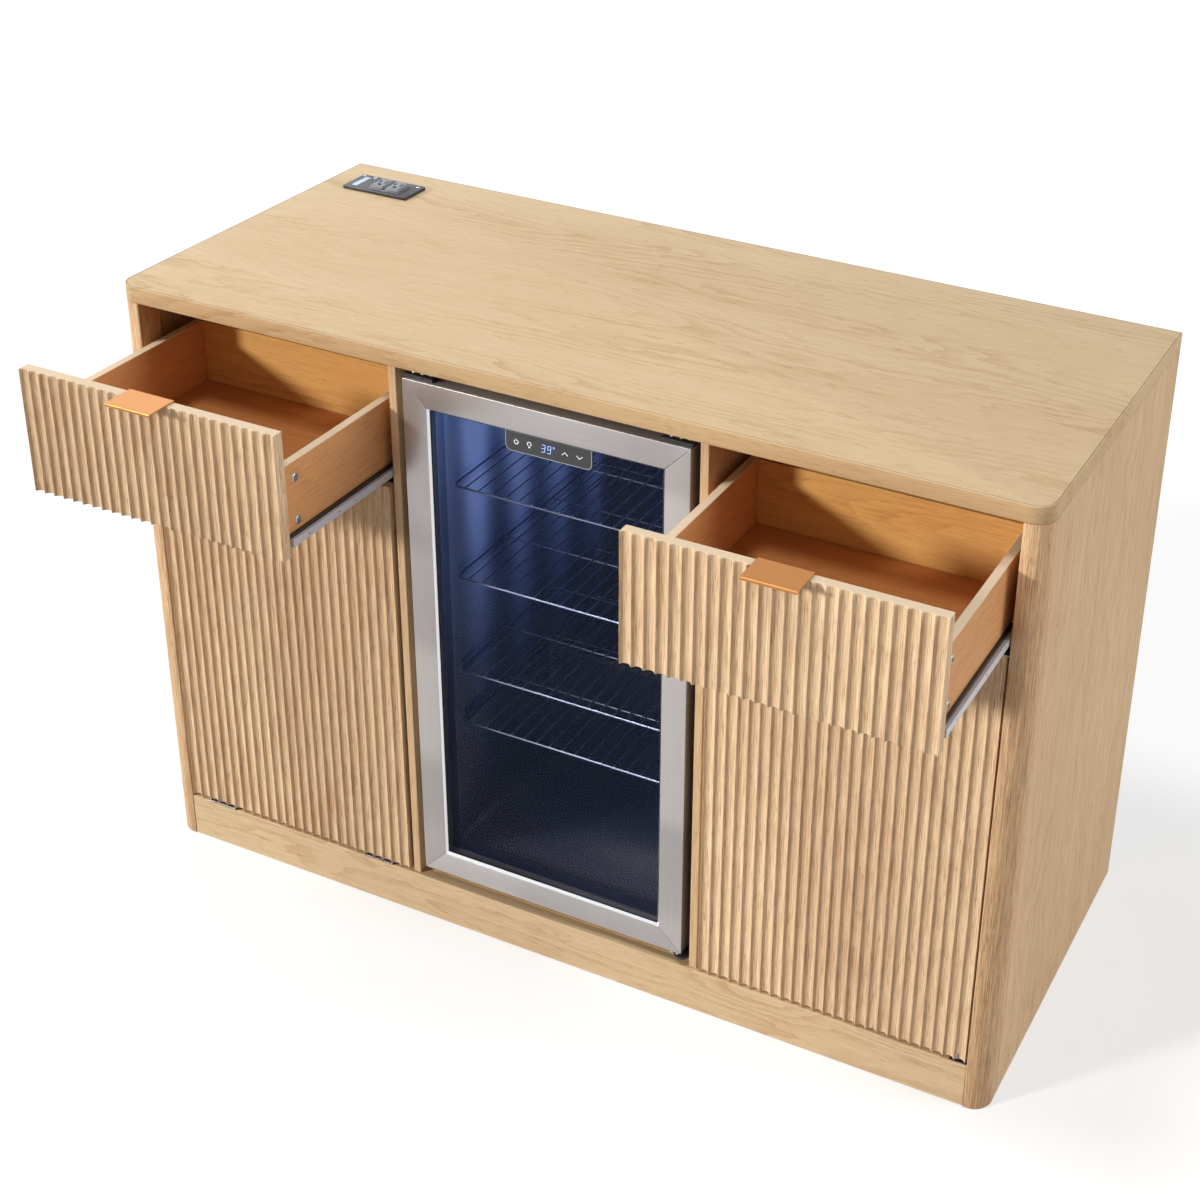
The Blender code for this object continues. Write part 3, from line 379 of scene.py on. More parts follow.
@dataclass(frozen=True)
class Oak(Finish):
    """Light oak laminate with rings, fibres, pores and a few eyes along one axis, and an
    optional painted highlight on its top edge.
    """

    grain: Axis = Axis.X
    light: Colour = tint(230, 203, 160)
    dark: Colour = tint(188, 148, 100)
    pore: Colour = tint(158, 112, 70)
    figure: float = 0.35
    fibre: float = 0.35
    pores: float = 0.35
    shift: float = 0.0
    roughness: float = 0.56
    # rim: the height above which the top-edge tint is used, a painted highlight where light
    # falls on the top edge; 0 leaves it out.
    rim: float = 0.0
    fineness: float = 1.0
    top_highlight_tint: Colour = tint(232, 208, 176)
    band: float = 0.0

    def paint(self, graph: ShaderGraph) -> None:
        """Contours of a drawn-out noise make the rings, finer noises fibres and pores.

        Args:
            graph: The nodes of its material.
        """
        along, first, second = graph.along(self.grain)
        along = along + self.shift
        broad = graph.vector(along * 0.55, first * 4.2, second * 4.2)
        wander = graph.noise(graph.vector(along * 2.5, first * 14, second * 14), 1.0, 2.0)
        cells = graph.vector(along * 1.9, first * 7.5, second * 7.5)
        near = graph.value("ShaderNodeTexVoronoi", None, {"Vector": cells, "Scale": 1.0})
        eye = 1 - near.ramp(0.0, 0.28)
        ripple = graph.noise(graph.vector(along * 24, first * 95, second * 95), 1.0, 2.0)
        swell = graph.noise(broad, 1.0, 1.5, 0.45)
        phase = (swell * 44 + wander * 4 + ripple * 1.1 + eye * 2.5).math("FRACT")
        ring = phase ** 2.2 * (1 - phase.ramp(0.90, 1.0))
        zone = graph.noise(broad, 3.1, 1.0).ramp(0.38, 0.60) + eye * 0.5
        bend = wander * (0.016 / self.fineness)
        thin = 340 * self.fineness
        fine = graph.vector(along * 14, (first + bend) * thin, (second + bend) * thin)
        fibre = graph.noise(fine, 1.0, 3.0, 0.62).ramp(0.36, 0.68)
        bands = graph.vector(along * 2.4, (first + bend) * 70, (second + bend) * 70)
        streak = graph.noise(bands, 1.0, 2.0, 0.5) - 0.5
        thin = 520 * self.fineness
        dash = graph.vector(along * 45, (first + bend) * thin, (second + bend) * thin)
        pores = graph.noise(dash, 1.0, 1.0).ramp(0.55, 0.70) * (ring * 0.7 + 0.5)
        cloud = graph.noise(graph.vector(along * 1.1, first * 6, second * 6), 1.0, 2.0)
        depth = ring * zone * self.figure + (fibre + streak * 0.5) * self.fibre
        depth = depth + (cloud - 0.5) * 0.5 + 0.12
        colour = graph.mix(depth.math("MAXIMUM", 0.0), self.light, self.dark)
        colour = graph.mix(pores * self.pores, colour, self.pore)
        # Painted highlight: above the rim height the colour turns pale where light catches the
        # top edge.
        if self.rim:
            highlit_top = graph.z.math("GREATER_THAN", self.rim)
            colour = graph.mix(highlit_top, colour, self.top_highlight_tint)
        if self.band:
            below = graph.z.math("LESS_THAN", self.band)
            colour = graph.mix(below, colour, tint(247, 238, 224), "MULTIPLY")
        graph.set(
            Base_Color=colour,
            Roughness=fibre * 0.10 + self.roughness - 0.04,
            Specular_IOR_Level=0.28,
        )
        graph.bump(1 - (fibre * 0.6 + pores), 0.00008, 0.8)


@dataclass(frozen=True)
class Metal(Finish):
    """A metal, brushed along an axis or plain."""

    colour: Colour = (0.6, 0.6, 0.6)
    roughness: float = 0.3
    brushed: Axis | None = None
    streak: float = 0.06
    metallic: float = 1.0
    # bands: strength of slow dark bands along the length, a painted reflection.
    bands: float = 0.0

    def paint(self, graph: ShaderGraph) -> None:
        """Long fine streaks vary roughness and colour, and slow bands of painted reflection
        darken its length.

        Args:
            graph: The nodes of its material.
        """
        if self.brushed is None:
            marks = graph.noise(graph.place, 45.0, 3.0)
            slow = marks
        else:
            along, first, second = graph.along(self.brushed)
            drawn = graph.vector(along * 7, first * 620, second * 620)
            marks = graph.noise(drawn, 1.0, 2.0, 0.6)
            slow = graph.noise(graph.vector(along * 5.5, first, second), 1.0, 1.0)
        darker = tuple(c * (1 - 3 * self.streak) for c in self.colour)
        colour = graph.mix(marks, self.colour, darker)
        # Painted reflection: slow bands pull the colour towards this darker shade.
        shade = tuple(c * 0.45 for c in self.colour)
        graph.set(
            Base_Color=graph.mix(slow.ramp(0.46, 0.60) * self.bands, colour, shade),
            Metallic=self.metallic,
            Roughness=(marks - 0.5) * 2 * self.streak + self.roughness,
        )
        if self.brushed is not None:
            graph.bump(marks, 0.00003, 0.5)


@dataclass(frozen=True)
class Plastic(Finish):
    """A moulded or painted surface with a fine texture."""

    colour: Colour = (0.03, 0.03, 0.03)
    roughness: float = 0.4
    texture: float = 900.0
    depth: float = 0.00006
    gloss: float = 0.5

    def paint(self, graph: ShaderGraph) -> None:
        """Fine pits and a slight unevenness of colour.

        Args:
            graph: The nodes of its material.
        """
        pits = graph.noise(graph.place, self.texture, 2.0)
        cloud = graph.noise(graph.place, 14.0, 2.0)
        lighter = tuple(min(1.0, c * 1.22 + 0.004) for c in self.colour)
        graph.set(
            Base_Color=graph.mix(cloud, self.colour, lighter),
            Roughness=(cloud - 0.5) * 0.12 + self.roughness,
            Specular_IOR_Level=self.gloss,
        )
        graph.bump(pits, self.depth, 0.7)


@dataclass(frozen=True)
class LitLiner(Finish):
    """The fridge's inside: dark plastic whose colour and glow paint the light of a blue lamp
    at the top left.
    """

    # lamp, floor, glow and strength place and colour the painted light; shade is the colour
    # where it fades out.
    lamp: Point = (-0.19, -0.20, 0.90)
    floor: float = 0.10
    glow: Colour = tint(112, 138, 204)
    shade: Colour = tint(22, 27, 44)
    strength: float = 0.55

    def paint(self, graph: ShaderGraph) -> None:
        """The painted light falls off downwards and away from the left wall, in soft bands.

        Args:
            graph: The nodes of its material.
        """
        x, y, z = graph.x, graph.y, graph.z
        down = (self.lamp[2] - z) / (self.lamp[2] - self.floor)
        upper = (1 - down.math("MAXIMUM", 0.0)).math("MAXIMUM", 0.0) ** 1.6
        left = 1 - (x - self.lamp[0]).ramp(0.0, 0.05) * 0.78
        bands = (x * 110 + y * 55).math("SINE") * 0.22 + 0.78
        patch = graph.noise(graph.vector(x * 9, y * 9, z * 2.5), 1.0, 1.0) * 0.8 + 0.55
        right = x.ramp(0.06, 0.16) * upper ** 2 * 0.55
        light = (upper * left * bands + right) * patch
        pits = graph.noise(graph.place, 700.0, 1.0)
        deep = graph.mix(light.ramp(0.05, 0.8), tint(20, 40, 110), self.glow)
        # Base colour and emission both carry the painted lamp light; the liner itself is no
        # lamp.
        graph.set(
            Base_Color=graph.mix(light.ramp(0.0, 0.8), self.shade, tint(96, 116, 160)),
            Roughness=pits * 0.04 + 0.36,
            Specular_IOR_Level=0.2,
            Emission_Color=graph.mix(light.ramp(0.0, 0.7), (0.0, 0.0, 0.0), deep),
            Emission_Strength=self.strength,
        )
        graph.bump(pits, 0.000012, 0.3)


@dataclass(frozen=True)
class Glow(Finish):
    """A lit symbol or lamp."""

    colour: Colour = (1.0, 1.0, 1.0)
    strength: float = 1.0

    def paint(self, graph: ShaderGraph) -> None:
        """A plain lamp colour with slightly uneven light.

        Args:
            graph: The nodes of its material.
        """
        uneven = graph.noise(graph.place, 260.0, 1.0) * 0.3
        dim = tuple(c * 0.7 for c in self.colour)
        graph.set(
            Base_Color=self.colour,
            Roughness=0.4,
            Emission_Color=graph.mix(uneven, self.colour, dim),
            Emission_Strength=self.strength,
        )


@dataclass(frozen=True)
class Glass(Finish):
    """Clear double glazing with a faint blue cast."""

    colour: Colour = tint(40, 54, 84)
    cover: float = 0.08

    def paint(self, graph: ShaderGraph) -> None:
        """A thin see-through skin with a polished surface.

        Args:
            graph: The nodes of its material.
        """
        smear = graph.noise(graph.place, 7.0, 2.0)
        graph.set(
            Base_Color=self.colour,
            Roughness=smear * 0.05 + 0.02,
            Alpha=smear * 0.04 + self.cover,
            Specular_IOR_Level=0.35,
        )


OAK_TOP = Oak(
    "oak_top", Axis.X, tint(222, 198, 160), tint(182, 144, 98), figure=0.42, fibre=0.18,
    pores=0.30, fineness=1.3,
)
OAK_SIDE = Oak(
    "oak_side", Axis.Z, tint(232, 198, 152), tint(168, 124, 82), figure=0.22, fibre=0.38,
    pores=0.34, shift=1.7, fineness=1.9,
)
OAK_POST = Oak(
    "oak_post", Axis.Z, tint(242, 204, 158), tint(160, 114, 74), tint(132, 78, 46), 0.06,
    0.66, 0.70, 3.1, fineness=2.8,
)
OAK_FLUTE = Oak(
    "oak_flutes", Axis.Z, tint(246, 220, 180), tint(172, 122, 80), tint(142, 88, 50), 0.14,
    0.56, 0.70, 5.3, fineness=2.8,
)
OAK_EDGE = Oak(
    "oak_cross_grain", Axis.X, tint(226, 200, 160), tint(182, 140, 96), figure=0.40,
    fibre=0.22, pores=0.34, shift=7.9, fineness=1.5,
)
OAK_UPRIGHT = Oak(
    "oak_upright", Axis.Z, tint(226, 194, 152), tint(176, 134, 92), figure=0.20, fibre=0.40,
    shift=9.7, fineness=1.8,
)
# The bottom panel's oak is lighter and warmer than the other boards: painted bounce light in
# the shade under the doors, over the board's own grain.
OAK_DECK_BOUNCE_LIT = Oak(
    "oak_deck_painted_bounce", Axis.X, tint(255, 208, 146), tint(236, 166, 104), figure=0.20, fibre=0.26,
    pores=0.20, shift=3.9,
)
OAK_BOX = Oak(
    "oak_box_sides", Axis.Y, tint(224, 164, 108), tint(185, 121, 71), tint(142, 80, 42), 0.20,
    0.26, 0.30, 2.3, fineness=1.6,
)
OAK_BOX_BACK = Oak(
    "oak_box_back", Axis.X, tint(228, 178, 104), tint(184, 124, 64), tint(140, 82, 40), 0.46,
    0.24, 0.26, 4.1, fineness=1.4,
)
# The drawer floors are darker and more orange than the box sides: partly the board's own tone,
# partly painted shade.
OAK_BOX_FLOOR = Oak(
    "oak_box_floor", Axis.X, tint(206, 140, 82), tint(172, 106, 56), tint(130, 74, 36), 0.15,
    0.26, 0.20, 6.7,
)
BACK_BOARD = Oak(
    "back_board", Axis.Z, tint(190, 164, 130), tint(160, 130, 96), figure=0.10, fibre=0.25,
    shift=8.2, roughness=0.7,
)
SEAM = Plastic("edge_seam", tint(112, 74, 42), 0.9, 800, 0.00003, 0.1)
# The frame steels carry slow dark bands of painted reflection.
STEEL_X = Metal("brushed_steel_across", tint(188, 184, 183), 0.40, Axis.X, 0.07, 0.66, 0.25)
STEEL_Z = Metal("brushed_steel_upright", tint(190, 184, 182), 0.38, Axis.Z, 0.07, 0.78, 0.40)
# Lighter, glossier copy of the frame steel for the inner lip: partly painted highlight where
# the lip catches light.
LIP_HIGHLIGHT_STEEL = Metal("bright_steel", tint(226, 226, 228), 0.22, None, 0.03)
# Dark track steel at the back of the runner's groove: partly its own colour, partly painted
# shade of the groove.
TRACK = Metal("runner_track", tint(84, 78, 74), 0.40, Axis.Y, 0.05)
OUTLET = Plastic("outlet_faces", tint(124, 126, 132), 0.36, 1500, 0.00003)
CHROME = Metal("chrome", tint(215, 216, 222), 0.12, None, 0.03)
ZINC = Metal("zinc", tint(188, 188, 190), 0.30, None, 0.05)
COATED = Metal("coated_steel", tint(214, 211, 214), 0.42, Axis.Y, 0.03, 0.15)
COPPER = Metal("copper", tint(196, 134, 76), 0.30, None, 0.02)
# Chrome with a darkened colour: painted shade and dim reflections where the hinges and pivots
# sit in gaps.
HINGE_CHROME_SHADED = Metal("dark_chrome", tint(112, 106, 108), 0.26, None, 0.04)
SCREW = Metal("screw_zinc", tint(186, 184, 180), 0.28, None, 0.04, 0.70)
BLACK_STEEL = Plastic("black_steel", tint(38, 35, 34), 0.42, 1200, 0.00004)
CASE = Plastic("fridge_case", tint(34, 34, 38), 0.45, 500, 0.00012)
POT = Plastic("compressor_paint", tint(22, 22, 24), 0.35, 300, 0.00008)
BLACK = Plastic("black_plastic", tint(36, 37, 42), 0.34, 1500, 0.00004)
PANEL_BLACK = Plastic("panel_black", tint(52, 52, 55), 0.22, 100, 0.00001)
# Near-black sheet at the bottom of the shallow slots: painted shade of deep socket holes.
SLOT = Plastic("outlet_slot", tint(9, 9, 11), 0.9, 800, 0.00002, 0.1)
BIN = Plastic("bin_plastic", tint(120, 120, 122), 0.50, 900, 0.00008)
WIRE = Metal("shelf_wire", tint(146, 154, 178), 0.34, None, 0.05)
STRIP = Plastic("pale_strip", tint(178, 202, 224), 0.30, 600, 0.00003)
WHITE_GLOW = Glow("white_symbols", tint(226, 228, 232), 0.85)
BLUE_GLOW = Glow("blue_digits", tint(150, 180, 255), 1.0)
LAMP_GLOW = Glow("fridge_lamp", tint(150, 190, 255), 1.2)
# The liner, the seal and the glass spacer glow with painted lamp light.
LINER = LitLiner("lit_liner")
RUBBER = LitLiner("seal_rubber", shade=tint(34, 38, 56), strength=0.26)
SPACER = LitLiner("glass_spacer", shade=tint(34, 38, 56), strength=0.34)
GLASS = Glass("door_glass")


def stand(name: str, data: bpy.types.ID) -> bpy.types.Object:
    """Put new data into the scene as an object.

    Args:
        name: The object's name.
        data: Its data.

    Returns:
        The object.
    """
    made = bpy.data.objects.new(name, data)
    bpy.context.scene.collection.objects.link(made)
    return made


def shade(mesh: bpy.types.Mesh, smooth: float = SMOOTH_TO) -> None:
    """Shade a mesh's edges smooth up to an angle in degrees."""
    mesh.shade_smooth()
    mesh.set_sharp_from_angle(angle=math.radians(smooth))


def settle(piece: bpy.types.Object, smooth: float = SMOOTH_TO) -> None:
    """Put the plain mesh that a piece's modifiers make in their place.

    Args:
        piece: The piece.
        smooth: The angle in degrees up to which edges are shaded smooth.
    """
    bpy.context.view_layer.update()
    evaluated = piece.evaluated_get(bpy.context.evaluated_depsgraph_get())
    mesh = bpy.data.meshes.new_from_object(evaluated)
    piece.modifiers.clear()
    piece.data = mesh
    shade(mesh, smooth)


class Shape:
    """A mesh being modelled from rounded boxes, prisms, turnings and ribbons."""

    def __init__(self) -> None:
        """Start with nothing."""
        self.mesh = bmesh.new()

    def loft(self, rings: Sequence[Sequence[bmesh.types.BMVert]]) -> list[bmesh.types.BMFace]:
        """Join each ring with the next. A ring of one vertex is a pole.

        Args:
            rings: Rings of equally many vertices, and poles.

        Returns:
            The new faces.
        """
        faces = []
        for lower, upper in zip(rings, rings[1:]):
            count = max(len(lower), len(upper))
            for i in range(count):
                j = (i + 1) % count
                corners = dict.fromkeys((lower[i % len(lower)], lower[j % len(lower)],
                                         upper[j % len(upper)], upper[i % len(upper)]))
                if len(corners) > 2:
                    faces.append(self.mesh.faces.new(list(corners)))
        return faces

    def _close(self, faces: Iterable[bmesh.types.BMFace], radius: float = 0.0,
               steps: int = 2) -> Shape:
        """Turn faces outward and bevel the edges between them.

        Args:
            faces: The faces of one closed form.
            radius: The radius of its edges, or 0.
            steps: Faces across each edge.

        Returns:
            This shape.
        """
        faces = list(faces)
        bmesh.ops.recalc_face_normals(self.mesh, faces=faces)
        if radius > 0:
            edges = dict.fromkeys(e for f in faces for e in f.edges)
            sharp = [e for e in edges if len(e.link_faces) == 2
                     and e.calc_face_angle(0) > math.radians(ROUNDED_FROM)]
            bmesh.ops.bevel(
                self.mesh, geom=sharp, offset=radius, offset_type="OFFSET", segments=steps,
                profile=0.5, affect="EDGES", clamp_overlap=True,
            )
        return self

    def box(self, low: Sequence[float], high: Sequence[float], radius: float = 0.0,
            steps: int = 2) -> Shape:
        """Add a box with rounded edges.

        Args:
            low: Its lowest corner.
            high: Its highest corner.
            radius: The radius of its edges.
            steps: Faces across each edge.

        Returns:
            This shape.
        """
        near, far = Vector(low), Vector(high)
        matrix = Matrix.Translation((near + far) / 2) @ Matrix.Diagonal((*(far - near), 1))
        made = bmesh.ops.create_cube(self.mesh, size=1.0, matrix=matrix)
        faces = dict.fromkeys(f for v in made["verts"] for f in v.link_faces)
        return self._close(faces, radius, steps)

    def block(self, middle: Flat, half: Flat, low: float, high: float, radius: float = 0.0,
              steps: int = 2) -> Shape:
        """Add an upright box about a point, from its half sizes in X and Y."""
        (x, y), (u, v) = middle, half
        return self.box((x - u, y - v, low), (x + u, y + v, high), radius, steps)

    def prism(self, outline: Sequence[Flat], low: float, high: float, axis: Axis,
              radius: float = 0.0, steps: int = 2) -> Shape:
        """Add an outline pushed along an axis.

        Args:
            outline: Points in the plane across the axis, in the order of the axes.
            low: Where it starts.
            high: Where it ends.
            axis: The axis it is pushed along.
            radius: The radius of its edges.
            steps: Faces across each edge.

        Returns:
            This shape.
        """
        def put(u: float, v: float, w: float) -> Point:
            return {Axis.X: (w, u, v), Axis.Y: (u, w, v), Axis.Z: (u, v, w)}[axis]

        start, end = ([self.mesh.verts.new(put(u, v, w)) for u, v in outline]
                      for w in (low, high))
        ends = [self.mesh.faces.new(start[::-1]), self.mesh.faces.new(end)]
        return self._close(ends + self.loft((start, end)), radius, steps)

    def turned(self, profile: Sequence[Flat], foot: Sequence[float], facing: Sequence[float],
               steps: int = 32) -> Shape:
        """Add a turning: radius and height pairs about a line.

        Args:
            profile: Radius and height of each ring, from one end to the other.
            foot: The point of height 0.
            facing: The direction of the line.
            steps: Points round each ring.

        Returns:
            This shape.
        """
        turn = Vector(facing).to_track_quat("Z", "Y").to_matrix().to_4x4()
        place = Matrix.Translation(Vector(foot)) @ turn
        rings = []
        for radius, height in profile:
            angles = [2 * math.pi * step / steps for step in range(steps if radius else 1)]
            rings.append([
                self.mesh.verts.new(place @ Vector((radius * math.cos(a), radius * math.sin(a),
                                                    height)))
                for a in angles
            ])
        ends = [ring for ring in (rings[0], rings[-1]) if len(ring) > 1]
        return self._close(self.loft(rings) + [self.mesh.faces.new(ring) for ring in ends])

    def disc(self, radius: float, height: float, foot: Sequence[float],
             facing: Sequence[float], steps: int) -> Shape:
        """Add a plain round pin or disc."""
        profile = [(0.0, 0.0), (radius, 0.0), (radius, height), (0.0, height)]
        return self.turned(profile, foot, facing, steps)

    def hoop(self, rings: Sequence[Sequence[Point]]) -> Shape:
        """Add a closed band through rings of points, the last joined to the first."""
        made = [[self.mesh.verts.new(point) for point in ring] for ring in rings]
        return self._close(self.loft([*made, made[0]]))

    def ribbon(self, path: Sequence[Flat], width: float, y: float,
               closed: bool = False) -> Shape:
        """Add a flat line of even width that faces -Y, such as a stroke of a symbol.

        Args:
            path: Its points in X and Z.
            width: The width of the line.
            y: The surface that it lies on.
            closed: Whether its ends meet.

        Returns:
            This shape.
        """
        points = [Vector((u, v)) for u, v in path]
        count = len(points)
        rings = []
        for i, point in enumerate(points):
            before = points[i - 1] if i or closed else point
            after = points[(i + 1) % count] if i < count - 1 or closed else point
            first = (point - before).normalized() if point != before else None
            second = (after - point).normalized() if after != point else None
            ahead = ((first or second) + (second or first)).normalized()
            across = Vector((-ahead.y, ahead.x))
            bend = across.dot(Vector((-(first or second).y, (first or second).x)))
            reach = across * (width / 2 / max(0.5, bend))
            left, right = point + reach, point - reach
            rings.append([
                self.mesh.verts.new((spot.x, y - stand_off, spot.y))
                for spot, stand_off in ((left, PROUD), (right, PROUD), (right, 0), (left, 0))
            ])
        faces = self.loft([*rings, rings[0]] if closed else rings)
        if not closed:
            faces += [self.mesh.faces.new(ring) for ring in (rings[0], rings[-1])]
        return self._close(faces)

    def open_side(self, mouth: Point, corner: float) -> Shape:
        """Round a block's edges and take away the side that faces mouth.

        Args:
            mouth: The direction that the open side faces. Its edges stay sharp.
            corner: The radius of the other edges.

        Returns:
            This shape.
        """
        def facing() -> list[bmesh.types.BMFace]:
            return [f for f in self.mesh.faces if f.normal.dot(Vector(mouth)) > 0.99]

        keep = {e for f in facing() for e in f.edges}
        bmesh.ops.bevel(
            self.mesh, geom=[e for e in self.mesh.edges if e not in keep], offset=corner,
            segments=5, profile=0.5, affect="EDGES",
        )
        bmesh.ops.delete(self.mesh, geom=facing(), context="FACES_ONLY")
        return self

    def made(self, name: str, finish: Finish, smooth: float = SMOOTH_TO) -> bpy.types.Object:
        """Turn the shape into an object.

        Args:
            name: The piece's name.
            finish: Its finish.
            smooth: The angle in degrees up to which edges are shaded smooth.

        Returns:
            The object, at the origin.
        """
        mesh = bpy.data.meshes.new(name)
        self.mesh.to_mesh(mesh)
        self.mesh.free()
        shade(mesh, smooth)
        mesh.materials.append(material_of(finish))
        return stand(name, mesh)

    def fit(self, name: str, finish: Finish, body: Body, slot: str, *nodes: str) -> None:
        """Finish the piece and let it ride on its body in place of some nodes."""
        attach(self.made(name, finish), body, slot, *nodes)

    def fit_shell(self, name: str, finish: Finish, wall: float, body: Body, slot: str,
                  node: str) -> None:
        """Give the open shape a wall and let it ride on its body in place of a node.

        Args:
            name: The piece's name.
            finish: Its finish.
            wall: The thickness of its wall, inwards.
            body: The body that it rides on.
            slot: Its material slot.
            node: The node that it stands for.
        """
        piece = self.made(name, finish, 50)
        solid = piece.modifiers.new("wall", "SOLIDIFY")
        solid.thickness = wall
        solid.offset = -1
        attach(piece, body, slot, node)


def arc(centre: Flat, radius: float, start: float, end: float, steps: int) -> list[Flat]:
    """Points of a circular arc.

    Args:
        centre: Its centre.
        radius: Its radius.
        start: Its first angle in degrees.
        end: Its last angle in degrees.
        steps: The number of pieces.

    Returns:
        The points, both ends included.
    """
    angles = [math.radians(start + (end - start) * step / steps) for step in range(steps + 1)]
    return [(centre[0] + radius * math.cos(a), centre[1] + radius * math.sin(a))
            for a in angles]


def near_corners(low: Flat, high: Flat, corner: float, inset: float,
                 steps: int) -> list[Flat]:
    """The two rounded near corners of an outline, the left one first.

    Args:
        low: The outline's lowest corner.
        high: Its highest corner.
        corner: The radius of the corners.
        inset: How far inside the outline the points lie.
        steps: The pieces of each corner.

    Returns:
        The points, from the left side to the right side.
    """
    points: list[Flat] = []
    for x, inward, start in ((low[0], 1, 180), (high[0], -1, 270)):
        centre = (x + inward * corner, low[1] + corner)
        points += arc(centre, corner - inset, start, start + 90, steps)
    return points


def attach(piece: bpy.types.Object, body: Body, slot: str, *replaced: str) -> None:
    """Let a piece ride on its body and stand for its nodes.

    Args:
        piece: The finished piece.
        body: The body that it moves with.
        slot: Not used.
        replaced: The nodes that it stands for.
    """
    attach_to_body(piece, body.value)
    if replaced:
        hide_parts(*replaced)
    log.info("%s rides on %s", piece.name, body.value)


def soften(node: str, finish: Finish, body: Body, slot: str, radius: float = 0.0007,
           steps: int = 2, least: float = ROUNDED_FROM) -> None:
    """Stand in for a node with a copy whose edges are rounded.

    Args:
        node: The node.
        finish: The finish of the copy.
        body: The body that it rides on.
        slot: Its material slot.
        radius: The radius of the edges.
        steps: Faces across each edge.
        least: The angle in degrees from which an edge is rounded.
    """
    shape = Shape()
    mesh = shape.mesh
    mesh.from_mesh(bpy.data.objects[node].data)
    bmesh.ops.remove_doubles(mesh, verts=mesh.verts, dist=2e-6)
    bmesh.ops.dissolve_limit(
        mesh, angle_limit=math.radians(0.5), verts=mesh.verts, edges=mesh.edges
    )
    layers = mesh.loops.layers.uv
    for name in layers.keys():
        layers.remove(layers[name])
    piece = shape.made("soft_" + node, finish)
    bevel = piece.modifiers.new("rounded_edges", "BEVEL")
    bevel.width = radius
    bevel.segments = steps
    bevel.limit_method = "ANGLE"
    bevel.angle_limit = math.radians(least)
    bevel.harden_normals = True
    attach(piece, body, slot, node)


def dress(node: str, finish: Finish) -> None:
    """Give a node that stays as it is its finish."""
    bpy.data.objects[node].material_slots[0].material = material_of(finish)
    log.info("%s keeps its solid", node)


class Recipe:
    """A Geometry Nodes tree with named inputs, and the pieces made with it."""

    name: str
    usual: dict[str, Any]

    def __init__(self) -> None:
        """Start the tree with its named inputs at their usual values."""
        tree = bpy.data.node_groups.new(self.name, "GeometryNodeTree")
        tree.is_modifier = True
        self.graph = Graph(tree)
        self.keys: dict[str, str] = {}
        kinds = {int: "Int", float: "Float", tuple: "Vector"}

        def socket(name: str, way: str, kind: str) -> Any:
            return tree.interface.new_socket(
                name=name, in_out=way, socket_type="NodeSocket" + kind
            )

        socket("Geometry", "INPUT", "Geometry")
        for key, usual in {**self.usual, "Material": None}.items():
            made = socket(key, "INPUT", kinds.get(type(usual), "Material"))
            if usual is not None:
                made.default_value = usual
            self.keys[key] = made.identifier
        socket("Geometry", "OUTPUT", "Geometry")
        self.given = self.graph.node("NodeGroupInput")
        real = self.graph.geo("RealizeInstances", Geometry=self.build(self.graph))
        dressed = self.graph.geo(
            "SetMaterial", Geometry=real, Material=self.input("Material")
        )
        self.graph.node("NodeGroupOutput", None, {0: dressed})

    def build(self, graph: Graph) -> Any:
        """Add the nodes and give the last one's output. Each recipe does this its own way."""
        raise NotImplementedError

    def input(self, name: str) -> Value:
        """A named input of the tree."""
        return Value(self.graph, self.given.outputs[name])

    def cook(self, name: str, finish: Finish, points: Sequence[Point] = ((0, 0, 0),),
             **sizes: Any) -> bpy.types.Object:
        """Run the tree and keep its result as a plain mesh.

        Args:
            name: The piece's name.
            finish: Its finish.
            points: The points that the tree starts from.
            sizes: Values of the named inputs, with _ for a space.

        Returns:
            The object, at the origin.
        """
        seed = bpy.data.meshes.new(name + "_points")
        seed.from_pydata([tuple(p) for p in points], [], [])
        made = stand(name, seed)
        modifier = made.modifiers.new(name, "NODES")
        modifier.node_group = self.graph.tree
        modifier[self.keys["Material"]] = material_of(finish)
        for key, size in sizes.items():
            modifier[self.keys[key.replace("_", " ")]] = size
        settle(made)
        made.data.name = name
        bpy.data.meshes.remove(seed)
        return made


